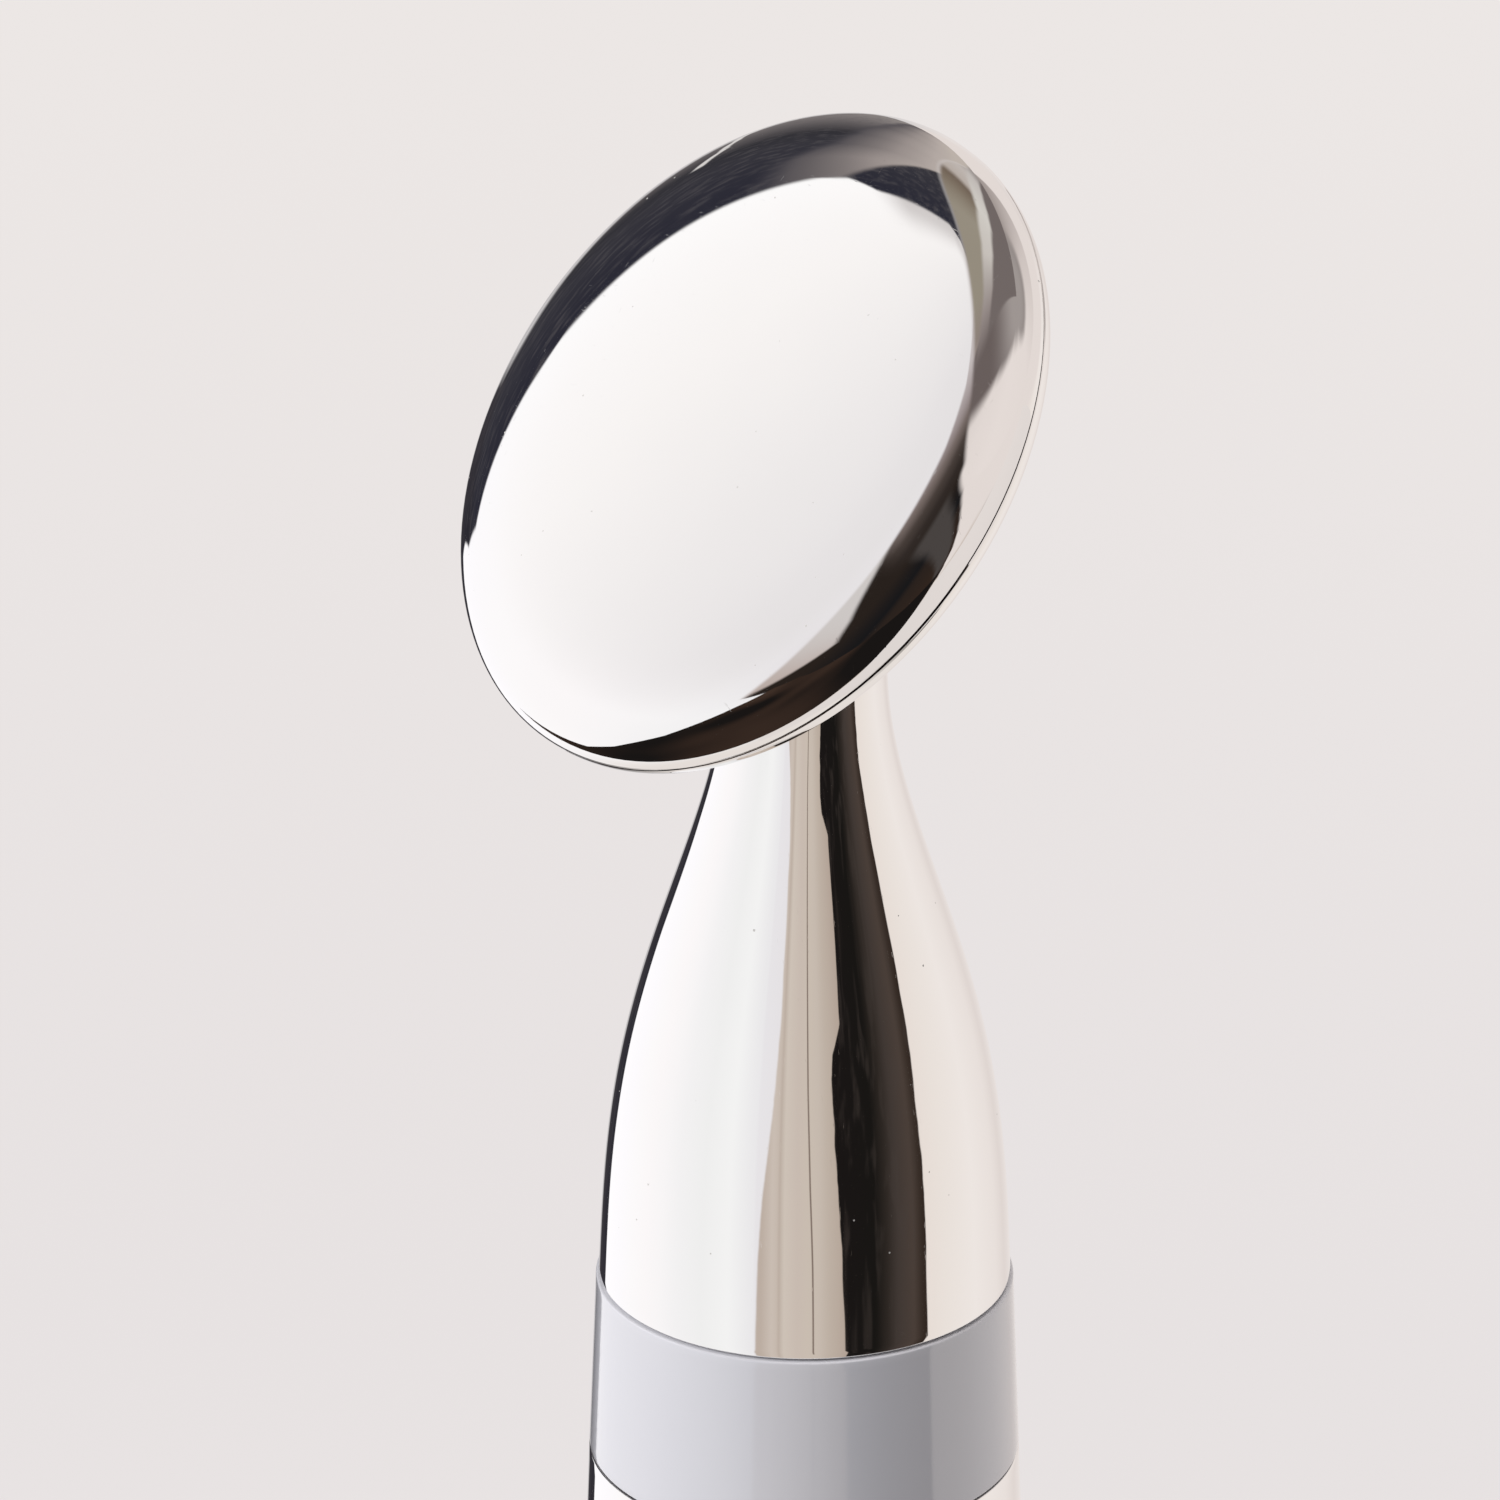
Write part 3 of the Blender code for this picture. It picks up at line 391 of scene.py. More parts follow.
def make_cap(look):
    """Foot, screw cap and twist switch: a flat base, and a threaded plug in the tube."""
    edge = body_radius(BASE_EDGE)
    profile = [(0.0, 0.0)]
    for turn in spaced(0.0, math.pi / 2, 10):
        profile.append((edge - BASE_EDGE * (1.0 - math.sin(turn)),
                        BASE_EDGE * (1.0 - math.cos(turn))))
    profile += body_outline(BASE_EDGE, CAP_HEIGHT, 16)[1:]
    shoulder = len(profile) - 1
    groove = SPIGOT_RADIUS - SEAL_DEPTH
    profile += [(SPIGOT_RADIUS, CAP_HEIGHT), (SPIGOT_RADIUS, CAP_SEAL_BOTTOM),
                (groove, CAP_SEAL_BOTTOM), (groove, CAP_SEAL_BOTTOM + SEAL_WIDTH),
                (SPIGOT_RADIUS, CAP_SEAL_BOTTOM + SEAL_WIDTH), (SPIGOT_RADIUS, PLUG_TOP),
                (PLUG_BORE, PLUG_TOP), (PLUG_BORE, CAP_FLOOR), (0.0, CAP_FLOOR)]
    radii = {shoulder: EDGE, shoulder + 6: 0.25, shoulder + 7: 0.25}
    builder = lathe(filleted(profile, radii, ring=False), ring=False)
    return add_piece("cap_body", builder, look, "cap", ["end_cap"])


def make_thread(look):
    """Raised screw thread round the plug, tapered out at both ends."""
    builder = bmesh.new()
    low, high = CAP_SEAL_BOTTOM + SEAL_WIDTH + 0.35, PLUG_TOP - 0.45
    turns = (high - low) / THREAD_PITCH
    steps = int(turns * SIDES)
    loops = []
    for step in range(steps + 1):
        angle = 2 * math.pi * step / SIDES
        height = low + THREAD_PITCH * step / SIDES
        run_out = min(1.0, 8.0 * step / SIDES + 0.05, 8.0 * (steps - step) / SIDES + 0.05)
        rise = THREAD_HEIGHT * run_out
        section = [(-0.05, -0.42), (rise, -0.14), (rise, 0.14), (-0.05, 0.42)]
        loops.append([builder.verts.new(((SPIGOT_RADIUS + out) * math.cos(angle),
                                         (SPIGOT_RADIUS + out) * math.sin(angle), height + up))
                      for out, up in section])
    join_loops(builder, loops, ring=False)
    cap_ends(builder, loops)
    return add_piece("cap_thread", builder, look, "cap")


def make_o_ring(name, groove_floor, low, look, body, node):
    radius, height = groove_floor + SEAL_GAP + SEAL_WIRE, low + SEAL_WIDTH / 2
    profile = [(radius + SEAL_WIRE * math.cos(a), height + SEAL_WIRE * math.sin(a))
               for a in angles(20)]
    return add_piece(name, lathe(profile), look, body, [node])


def make_spring(look):
    """Conical spring that stays on the cell as its plate travels with the cap."""
    low, high, wide, top, wire, turns = 7.65, 17.05, 5.55, 3.6, 0.45, 5
    builder = bmesh.new()
    per_turn, round_wire = 48, 12
    path = []
    for step in range(turns * per_turn + 1):
        share = step / (turns * per_turn)
        angle = 2 * math.pi * step / per_turn
        radius = wide + (top - wide) * share
        path.append(Vector((radius * math.cos(angle), radius * math.sin(angle),
                            low + (high - low) * share)))
    loops = []
    for index, point in enumerate(path):
        ahead = path[min(index + 1, len(path) - 1)] - path[max(index - 1, 0)]
        ahead.normalize()
        side = Vector((point.x, point.y, 0.0)).normalized()
        upward = ahead.cross(side).normalized()
        side = upward.cross(ahead)
        loops.append([builder.verts.new(point + (side * math.cos(a) + upward * math.sin(a)) * wire)
                      for a in angles(round_wire)])
    join_loops(builder, loops, ring=False)
    cap_ends(builder, loops)
    piece = add_piece("spring_coil", builder, look, None, ["contact_spring"])
    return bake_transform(piece)


# ---- materials
class Nodes:
    """Small helper round a node tree."""

    def __init__(self, tree):
        self.tree = tree

    def add(self, kind, **settings):
        node = self.tree.nodes.new(kind)
        for name, value in settings.items():
            setattr(node, name, value)
        return node

    def link(self, source, target):
        self.tree.links.new(source, target)

    def put(self, socket, value):
        if hasattr(value, "is_output"):
            self.link(value, socket)
        else:
            socket.default_value = value

    def math(self, operation, first, second=0.0, clamp=False):
        node = self.add("ShaderNodeMath", operation=operation, use_clamp=clamp)
        self.put(node.inputs[0], first)
        self.put(node.inputs[1], second)
        return node.outputs[0]

    def remap(self, value, low, high, to_low=0.0, to_high=1.0, smooth=True):
        node = self.add("ShaderNodeMapRange",
                        interpolation_type="SMOOTHSTEP" if smooth else "LINEAR")
        self.put(node.inputs["Value"], value)
        node.inputs["From Min"].default_value = low
        node.inputs["From Max"].default_value = high
        node.inputs["To Min"].default_value = to_low
        node.inputs["To Max"].default_value = to_high
        return node.outputs[0]

    def mix(self, share, first, second):
        node = self.add("ShaderNodeMix", data_type="RGBA")
        self.put(node.inputs["Factor"], share)
        self.put(node.inputs["A"], first)
        self.put(node.inputs["B"], second)
        return node.outputs["Result"]

    def ramp(self, value, stops):
        node = self.add("ShaderNodeValToRGB")
        elements = node.color_ramp.elements
        for spare in list(elements)[1:]:
            elements.remove(spare)
        elements[0].position, elements[0].color = stops[0]
        for position, colour in stops[1:]:
            elements.new(position).color = colour
        self.link(value, node.inputs[0])
        return node.outputs[0]

    def noise(self, vector, scale, detail=3.0, roughness=0.5):
        node = self.add("ShaderNodeTexNoise")
        self.link(vector, node.inputs["Vector"])
        node.inputs["Scale"].default_value = scale
        node.inputs["Detail"].default_value = detail
        node.inputs["Roughness"].default_value = roughness
        return node.outputs["Fac"]


def linear(red, green, blue, gain=1.0):
    """Scene-linear colour from 8-bit display values."""
    channels = []
    for value in (red, green, blue):
        share = value / 255.0
        value = share / 12.92 if share <= 0.04045 else ((share + 0.055) / 1.055) ** 2.4
        channels.append(value * gain)
    return (*channels, 1.0)


def new_material(name):
    made = bpy.data.materials.new(name)
    made.use_nodes = True
    graph = Nodes(made.node_tree)
    return made, graph, made.node_tree.nodes["Principled BSDF"]


def stretched(graph, vector, scale, turn=(0.0, 0.0, 0.0)):
    mapping = graph.add("ShaderNodeMapping")
    graph.link(vector, mapping.inputs["Vector"])
    mapping.inputs["Scale"].default_value = scale
    mapping.inputs["Rotation"].default_value = turn
    return mapping.outputs[0]


def add_bump(graph, shader, relief, strength, distance):
    bump = graph.add("ShaderNodeBump")
    bump.inputs["Strength"].default_value = strength
    bump.inputs["Distance"].default_value = distance
    graph.link(relief, bump.inputs["Height"])
    graph.link(bump.outputs[0], shader.inputs["Normal"])


def dust_mask(graph, place, scale, size, share):
    """Sparse specks: some of the cells of a Voronoi pattern hold one small dot."""
    cells = graph.add("ShaderNodeTexVoronoi", feature="F1")
    graph.link(place, cells.inputs["Vector"])
    cells.inputs["Scale"].default_value = scale
    parts = graph.add("ShaderNodeSeparateColor")
    graph.link(cells.outputs["Color"], parts.inputs[0])
    chosen = graph.math("GREATER_THAN", parts.outputs[0], 1.0 - share)
    reach = graph.math("MULTIPLY", parts.outputs[1], size * scale)
    near = graph.math("LESS_THAN", cells.outputs["Distance"], reach)
    return graph.math("MULTIPLY", chosen, near)


def chrome(name, dust_share):
    """Mirror-polished chrome: faint haze, hair scratches and a few specks of dust."""
    made, graph, shader = new_material(name)
    place = graph.add("ShaderNodeTexCoord").outputs["Object"]
    haze = graph.noise(place, 180.0, 4.0)
    along = stretched(graph, place, (900.0, 14000.0, 900.0), (0.4, 0.2, 0.7))
    across = stretched(graph, place, (12000.0, 700.0, 1500.0), (0.1, 0.5, -0.4))
    scratches = graph.math("MAXIMUM", graph.remap(graph.noise(along, 1.0, 2.0), 0.70, 0.80),
                           graph.remap(graph.noise(across, 1.0, 2.0), 0.72, 0.82))
    dust = dust_mask(graph, place, 1150.0, 0.00007, dust_share)
    hazy = [channel * 0.985 for channel in CHROME_TINT]
    toned = graph.mix(haze, (*hazy, 1.0), (*CHROME_TINT, 1.0))
    graph.link(graph.mix(dust, toned, (0.50, 0.49, 0.47, 1.0)), shader.inputs["Base Color"])
    clean = graph.math("SUBTRACT", 1.0, dust)
    graph.link(clean, shader.inputs["Metallic"])
    polish = graph.math("ADD", graph.remap(haze, 0.3, 0.7, 0.012, 0.035),
                        graph.math("MULTIPLY", scratches, 0.16))
    rough = graph.math("ADD", polish, graph.math("MULTIPLY", dust, 0.6))
    graph.link(rough, shader.inputs["Roughness"])
    add_bump(graph, shader, graph.math("SUBTRACT", haze, scratches), 0.03, 0.00001)
    return made


def collar_plastic():
    """Glossy moulded plastic with a clear topcoat and a trace of orange peel."""
    made, graph, shader = new_material("collar_plastic")
    place = graph.add("ShaderNodeTexCoord").outputs["Object"]
    cloud = graph.noise(place, 140.0, 3.0)
    fine = graph.noise(place, 2600.0, 2.0)
    base = graph.mix(cloud, (0.590, 0.592, 0.632, 1.0), (0.612, 0.612, 0.645, 1.0))
    dust = dust_mask(graph, place, 520.0, 0.00005, 0.08)
    graph.link(graph.mix(dust, base, (0.8, 0.79, 0.77, 1.0)), shader.inputs["Base Color"])
    graph.link(graph.remap(fine, 0.3, 0.7, 0.09, 0.15), shader.inputs["Roughness"])
    shader.inputs["IOR"].default_value = 1.55
    shader.inputs["Coat Weight"].default_value = 0.8
    shader.inputs["Coat Roughness"].default_value = 0.05
    add_bump(graph, shader, fine, 0.05, 0.00002)
    return made


def plain_finish(name, dark, light, metallic, low, high, scale):
    """Workshop finish: two tones mottled by a grain, which also varies the polish."""
    made, graph, shader = new_material(name)
    place = graph.add("ShaderNodeTexCoord").outputs["Object"]
    grain = graph.noise(place, scale, 4.0, 0.6)
    graph.link(graph.mix(grain, (*dark, 1.0), (*light, 1.0)), shader.inputs["Base Color"])
    shader.inputs["Metallic"].default_value = metallic
    graph.link(graph.remap(grain, 0.25, 0.75, low, high), shader.inputs["Roughness"])
    add_bump(graph, shader, grain, 0.1, 0.00003)
    return made


def cell_sleeve():
    """Shrink sleeve of an AA cell: a dark body and a copper-toned shoulder band."""
    made, graph, shader = new_material("cell_sleeve")
    place = graph.add("ShaderNodeTexCoord").outputs["Object"]
    parts = graph.add("ShaderNodeSeparateXYZ")
    graph.link(place, parts.inputs[0])
    grain = graph.noise(place, 900.0, 3.0)
    body = graph.mix(grain, (0.05, 0.16, 0.20, 1.0), (0.07, 0.20, 0.24, 1.0))
    band = graph.remap(parts.outputs["Z"], CELL_SHOULDER * MM, (CELL_SHOULDER + 0.2) * MM)
    graph.link(graph.mix(band, body, (0.60, 0.36, 0.20, 1.0)), shader.inputs["Base Color"])
    graph.link(graph.remap(grain, 0.3, 0.7, 0.25, 0.4), shader.inputs["Roughness"])
    shader.inputs["Metallic"].default_value = 0.3
    return made


# Dark and light tone, metallic, lowest and highest roughness, and the grain's scale.
FINISHES = {
    "rubber": ((0.018, 0.018, 0.019), (0.035, 0.035, 0.036), 0.0, 0.55, 0.75, 2500.0),
    "silicone": ((0.50, 0.50, 0.49), (0.58, 0.58, 0.57), 0.0, 0.35, 0.5, 1500.0),
    "steel": ((0.52, 0.52, 0.53), (0.66, 0.66, 0.67), 1.0, 0.22, 0.38, 1800.0),
    "nickel": ((0.66, 0.65, 0.62), (0.74, 0.73, 0.71), 1.0, 0.18, 0.32, 1400.0),
    "ferrite": ((0.05, 0.05, 0.055), (0.09, 0.09, 0.095), 0.0, 0.5, 0.75, 3000.0),
    "bronze": ((0.46, 0.29, 0.14), (0.64, 0.43, 0.23), 1.0, 0.4, 0.6, 4000.0),
    "carbon": ((0.025, 0.025, 0.025), (0.05, 0.05, 0.05), 0.1, 0.5, 0.7, 4000.0),
    "copper": ((0.62, 0.27, 0.13), (0.80, 0.40, 0.22), 1.0, 0.3, 0.45, 2500.0),
    "brass": ((0.68, 0.50, 0.21), (0.82, 0.64, 0.32), 1.0, 0.22, 0.36, 1500.0),
    "weight": ((0.30, 0.30, 0.32), (0.42, 0.42, 0.44), 1.0, 0.38, 0.55, 3500.0),
    "nylon": ((0.78, 0.78, 0.74), (0.86, 0.86, 0.82), 0.0, 0.4, 0.55, 1800.0),
    "spring": ((0.60, 0.60, 0.61), (0.76, 0.76, 0.77), 1.0, 0.16, 0.28, 2600.0),
    "red": ((0.46, 0.015, 0.015), (0.60, 0.03, 0.03), 0.0, 0.35, 0.5, 1500.0),
    "black": ((0.012, 0.012, 0.012), (0.03, 0.03, 0.03), 0.0, 0.35, 0.5, 1500.0),
    "liner": ((0.72, 0.72, 0.71), (0.80, 0.80, 0.79), 0.0, 0.42, 0.55, 1200.0),
}
NODE_FINISH = {
    "plate_gasket": "silicone", "motor_sleeve": "rubber", "motor_can": "nickel",
    "motor_shaft": "steel", "battery_terminal": "nickel", "ground_ring": "spring",
    "eccentric_weight": "weight", "motor_magnet": "ferrite", "motor_end_bell": "nylon",
    "brush_positive": "carbon", "brush_negative": "carbon", "shaft_bearing": "bronze",
    "armature_core": "copper", "commutator": "copper", "motor_terminal_positive": "brass",
    "motor_terminal_negative": "brass", "positive_contact": "brass", "spring_plate": "brass",
    "positive_lead": "red", "negative_lead": "black", "battery_liner": "liner",
}


# ---- studio
# What a mirror sees. Bearings run from the camera to the right, and heights up from the
# horizon, both in degrees. Colours are 8-bit display values, as they show in the chrome.

# Low room, by bearing: white side, beige strip, dark band and pale side.
WHITE_BANDS = [(-180, (244, 242, 244)), (-60, (243, 241, 243)), (-45, (239, 237, 239)),
               (-30, (231, 229, 232)), (-16, (229, 226, 229)), (0, (226, 222, 222))]
BEIGE_BANDS = [(-40, (184, 170, 160)), (-24, (188, 174, 163)), (-18, (202, 190, 180)),
               (-14.4, (196, 183, 172)), (-13.4, (170, 154, 143)), (-12.4, (206, 195, 184)),
               (-4, (200, 187, 177)), (2, (201, 189, 177)), (8, (198, 186, 175)),
               (13, (190, 177, 165)), (30, (172, 154, 142))]
DARK_BANDS = [(10, (26, 22, 22)), (40, (24, 22, 20)), (47, (46, 40, 36)), (53, (64, 56, 52)),
              (63, (74, 63, 57)), (68, (56, 46, 40)), (72, (44, 34, 29))]
PALE_BANDS = [(60, (229, 218, 211)), (85, (233, 225, 219)), (110, (237, 230, 226)),
              (135, (231, 223, 219)), (150, (221, 212, 208)), (172, (228, 221, 218)),
              (180, (210, 206, 206))]
HAIR_TONE, SMUDGE_TONE = (126, 111, 102), (70, 62, 58)
# Edges between them and one thin line: bearing by height.
BEIGE_LEFT = [(-26, -28), (-18, -26), (-10, -23), (0, -19), (8, -17), (16, -16)]
DARK_LEFT = [(-26, 24), (-20, 21.5), (-12, 19), (-5, 17.4), (3, 16.4), (5.5, 17.5), (8, 23),
             (16, 25)]
DARK_RIGHT = [(-26, 72.2), (-14, 71), (-6, 70), (2, 71.4), (16, 72.4)]
HAIRLINE = [(-26, 5.2), (-18, 4.4), (-10, 3.0), (2, 1.8), (14, 1.4)]
HAIRLINE_LOW = -26.0
# The low room ends at one height, and fades over a depth that depends on the bearing.
LOW_TOP = 15.2
LOW_FADE = [(-180, 1.6), (6, 1.6), (18, 18), (76, 18), (100, 8), (180, 8)]

# Middle room, by bearing, with a sill of its own on the left.
MID_BANDS = [
    (-90, (40, 33, 29)), (-58, (40, 33, 29)), (-46, (30, 27, 27)), (-38, (24, 24, 26)),
    (-30, (42, 34, 30)), (0, (50, 38, 31)), (4, (70, 56, 50)), (10, (214, 204, 199)),
    (40, (229, 220, 215)), (120, (226, 217, 213)), (150, (206, 198, 194)),
    (180, (168, 161, 158))]
SILL_BANDS = [(-92, (196, 188, 188)), (-85, (160, 149, 149)), (-80, (118, 106, 102)),
              (-74, (72, 63, 59)), (-66, (50, 43, 40)), (-56, (42, 35, 31))]
SILL_LOW, SILL_RIGHT = 38.5, -58.0
PATCH_LOW_TONE, PATCH_HIGH_TONE = (186, 172, 166), (205, 200, 198)
WALL_TONE, SHEEN_TONE = (226, 217, 213), (72, 67, 65)
SHEEN_LEFT = -64.0
# Left edge of its dark part (bearing by height), and the top of it (height by bearing).
DARK_START = [(14, -74), (18, -71), (22, -65.5), (26, -59), (31, -65), (37, -77), (42, -86),
              (52.5, -94)]
DARK_TOP = [(-70, 52), (-56, 51), (-40, 50), (-28, 47), (-18, 43), (-8, 37), (0, 29), (6, 14)]

# High room, by bearing, then the zenith above it. DOME_TOP is a height by bearing.
CEILING = 52.5
HIGH_BANDS = [
    (-180, (160, 150, 146)), (-165, (190, 182, 177)), (-150, (182, 172, 165)),
    (-144, (112, 98, 86)), (-136, (126, 114, 100)), (-122, (150, 142, 128)),
    (-100, (148, 140, 126)), (-92, (140, 128, 122)), (-84, (216, 207, 203)),
    (-60, (225, 216, 212)), (-20, (228, 219, 215)), (60, (226, 217, 213)),
    (130, (206, 196, 192)), (180, (160, 150, 146))]
DOME_TOP = [(-98, 70), (-93, 60), (-89, 46), (-80, 49), (-72, 56), (-60, 66), (-40, 74),
            (-20, 79), (20, 80), (60, 74)]
ZENITH_LOW_TONE, ZENITH_HIGH_TONE = (104, 94, 92), (158, 150, 147)
# Left of the corner, a pale crest runs below a dim ceiling: tones and height by bearing.
CORNER = -88.0
TOP_BANDS = [(-180, (150, 142, 139)), (-170, (192, 186, 182)), (-140, (208, 204, 198)),
             (-112, (198, 192, 186)), (-96, (150, 140, 137)), (-88, (112, 102, 100))]
CREST = [(-180, 53), (-165, 60), (-150, 64.5), (-135, 66.5), (-115, 65), (-100, 61.5),
         (-88, 56)]
DIM_TONE = (112, 103, 101)

# White panel: tones by bearing in its lower and upper part, and edges as bearing by height.
PANEL_LOW = [(-150, (255, 253, 255)), (-128, (253, 251, 254)), (-112, (252, 250, 251)),
             (-100, (251, 248, 249)), (-88, (248, 246, 247)), (-76, (243, 242, 243)),
             (-59, (239, 239, 239)), (-43, (243, 243, 243)), (-30, (234, 233, 235))]
PANEL_HIGH = [(-125, (254, 254, 254)), (-119, (252, 250, 250)), (-112, (247, 244, 243)),
              (-104, (237, 234, 234)), (-96, (230, 227, 228)), (-88, (228, 225, 226)),
              (-80, (230, 227, 229)), (-70, (226, 222, 226))]
PANEL_LEFT = [(-30, -151), (-20, -146), (-13, -145), (-8, -139), (-3, -132), (5, -126),
              (20, -123), (38, -121), (40, -118.5), (50, -115), (52, -112), (54, -104)]
PANEL_RIGHT = [(15, -28), (16.5, -72), (25, -74.5), (38, -80), (46, -84), (50, -89),
               (52.5, -99)]
PANEL_TOP, FRINGE_LOW = 52.0, 41.0
FRINGE_TONE = (204, 199, 198)

# Dark side: tones by how far a bearing lies beyond the panel's left edge.
LEFT_REACH = 60.0
LEFT_LOW = [(0, (40, 39, 47)), (17, (54, 51, 56)), (20.5, (196, 193, 194)),
            (60, (214, 210, 210))]
LEFT_HIGH = [(0, (42, 42, 53)), (14, (54, 53, 60)), (24, (50, 49, 54)), (32, (84, 80, 82)),
             (44, (118, 112, 112)), (60, (150, 143, 140))]
STREAK_TONE = (88, 85, 88)
# Its pale upper part: tones by the height above LOFT_LOW, which is a height by bearing.
LOFT_REACH, LOFT_RIGHT = 20.0, -83.5
LOFT_LOW = [(-178, 22), (-170, 30), (-160, 35), (-145, 37.5), (-135, 37), (-128, 33.5),
            (-122, 33)]
LOFT_TONES = [(0, (78, 75, 80)), (2, (98, 93, 95)), (5, (126, 119, 118)), (8, (152, 143, 140)),
              (14, (178, 168, 163)), (20, (188, 178, 170))]
# A thin pale arc in it: height by bearing.
ARC = [(-178, -12), (-172, -2), (-164, 8), (-156, 15), (-146, 20)]
ARC_RIGHT, ARC_TONE = -147.0, (214, 210, 208)

FLOOR_TONE = (228, 221, 216)
FILL = (0.31, 0.305, 0.31, 1.0)
BACKDROP = (236, 231, 229)

# Ribbons before the disc's edge, which only mirrors see: an angle round the disc in
# degrees, and how far in millimetres before the disc the ribbon starts and ends there.
RIBBON_RADIUS = 24.0
FLAG_EDGES = [
    (-116, 0.15, 0.2), (-106, 0.15, 1.2), (-97, 0.15, 2.2), (-92, 0.15, 4.8), (-87, 0.15, 11),
    (-84, 0.15, 24.5), (-79, 0.15, 33), (-66, 0.2, 32), (-58, 0.2, 27), (-50, 0.3, 23.5),
    (-42, 0.5, 20), (-34, 1.0, 16), (-26, 1.6, 12.8), (-18, 3.2, 9), (-10, 5.2, 6.6),
    (-6, 5.9, 6.0)]
CARD_EDGES = [(-56, -2.0, 0.1), (-44, -2.5, 0.3), (-32, -5.0, 0.9), (-20, -6.0, 2.8),
              (-10, -6.0, 5.0), (-2, -6.0, 4.2), (28, -6.0, 2.0)]
FLAG_TONES = [(0.36, linear(26, 23, 22)), (0.48, linear(50, 38, 32)),
              (0.64, linear(64, 49, 41))]
CARD_TONES = [(0.35, linear(226, 219, 216)), (0.65, linear(236, 228, 224))]


def tone(colour):
    """Studio tone that shows as the given colour once the chrome has mirrored it."""
    return linear(*colour, gain=1.0 / CHROME_GAIN)


def band_stops(bands, low=-180.0, high=180.0):
    return [((place - low) / (high - low), tone(colour)) for place, colour in bands]


class Studio(Nodes):
    """Node tree of the world, with the bearing and the height of each direction."""

    def __init__(self, tree):
        super().__init__(tree)
        self.direction = self.add("ShaderNodeTexCoord").outputs["Generated"]
        parts = self.add("ShaderNodeSeparateXYZ")
        self.link(self.direction, parts.inputs[0])
        azimuth = self.math("ARCTAN2", parts.outputs["X"],
                            self.math("MULTIPLY", parts.outputs["Y"], -1.0))
        turned = self.math("DIVIDE", azimuth, 2 * math.pi)
        self.share = self.math("FRACT", self.math("ADD", turned, 1.5 - VIEW_AZIMUTH / 360.0))
        self.bearing = self.remap(self.share, 0.0, 1.0, -180.0, 180.0, smooth=False)
        self.height = self.math("MULTIPLY", self.math("ARCSINE", parts.outputs["Z"]),
                                180.0 / math.pi)

    def by_bearing(self, bands):
        return self.ramp(self.share, band_stops(bands))

    def minus(self, first, second):
        return self.math("SUBTRACT", first, second)

    def both(self, first, second):
        return self.math("MULTIPLY", first, second)

    def off(self, value, edge):
        return self.math("ABSOLUTE", self.minus(value, edge))

    def cloud(self, stretch, scale, detail):
        return self.noise(stretched(self, self.direction, stretch), scale, detail)

    def step(self, value, edge, width):
        """0 below an edge and 1 above it, with a soft change of the given width."""
        return self.remap(self.minus(value, edge), -width / 2, width / 2)

    def curve(self, value, points):
        """Piecewise-linear function of a value, from a list of (value, result) points."""
        node = self.add("ShaderNodeFloatCurve")
        low, high = points[0][0], points[-1][0]
        results = [result for _, result in points]
        least, most = min(results), max(results)
        knots = node.mapping.curves[0].points
        places = [((at - low) / (high - low), (result - least) / (most - least))
                  for at, result in points]
        knots[0].location, knots[-1].location = places[0], places[-1]
        for place in places[1:-1]:
            knots.new(*place)
        for knot in knots:
            knot.handle_type = "VECTOR"
        node.mapping.extend = "HORIZONTAL"
        node.mapping.update()
        self.link(self.remap(value, low, high, smooth=False), node.inputs["Value"])
        return self.remap(node.outputs[0], 0.0, 1.0, least, most, smooth=False)


def low_room(sky):
    """White side, beige strip with a thin line, smudged dark band and pale side."""
    bearing, height = sky.bearing, sky.height
    sway = sky.remap(sky.cloud((3.0, 3.0, 9.0), 2.0, 3.0), 0.3, 0.7, -0.35, 0.35,
                     smooth=False)
    swayed = sky.math("ADD", bearing, sway)
    low = sky.mix(sky.step(swayed, sky.curve(height, BEIGE_LEFT), 1.6),
                  sky.by_bearing(WHITE_BANDS), sky.by_bearing(BEIGE_BANDS))
    line = sky.both(sky.step(0.45, sky.off(bearing, sky.curve(height, HAIRLINE)), 0.6),
                    sky.step(height, HAIRLINE_LOW, 1.0))
    low = sky.mix(line, low, tone(HAIR_TONE))
    smudge = sky.remap(sky.cloud((5.0, 5.0, 4.0), 2.4, 3.0), 0.50, 0.70, 0.0, 0.30)
    dark = sky.mix(smudge, sky.by_bearing(DARK_BANDS), tone(SMUDGE_TONE))
    low = sky.mix(sky.step(swayed, sky.curve(height, DARK_LEFT), 0.7), low, dark)
    return sky.mix(sky.step(swayed, sky.curve(height, DARK_RIGHT), 0.9), low,
                   sky.by_bearing(PALE_BANDS))


def middle_room(sky):
    """Dark wall with a sheen along its top, a sill, and a grey patch on its left."""
    bearing, height = sky.bearing, sky.height
    dark_top = sky.curve(bearing, DARK_TOP)
    patch = sky.mix(sky.step(height, 26.0, 14.0), tone(PATCH_LOW_TONE),
                    tone(PATCH_HIGH_TONE))
    middle = sky.mix(sky.step(bearing, sky.curve(height, DARK_START), 4.0), patch,
                     sky.by_bearing(MID_BANDS))
    middle = sky.mix(sky.step(height, dark_top, 2.0), middle, tone(WALL_TONE))
    sheen = sky.both(sky.step(height, sky.minus(dark_top, 11.0), 3.0),
                     sky.step(sky.minus(dark_top, 3.0), height, 3.0))
    sheen = sky.both(sheen, sky.step(bearing, SHEEN_LEFT, 8.0))
    sheen = sky.both(sheen, sky.remap(bearing, -4.0, 4.0, 1.0, 0.0))
    middle = sky.mix(sheen, middle, tone(SHEEN_TONE))
    sill = sky.both(sky.step(height, SILL_LOW, 4.0), sky.step(SILL_RIGHT, bearing, 8.0))
    return sky.mix(sill, middle, sky.by_bearing(SILL_BANDS))


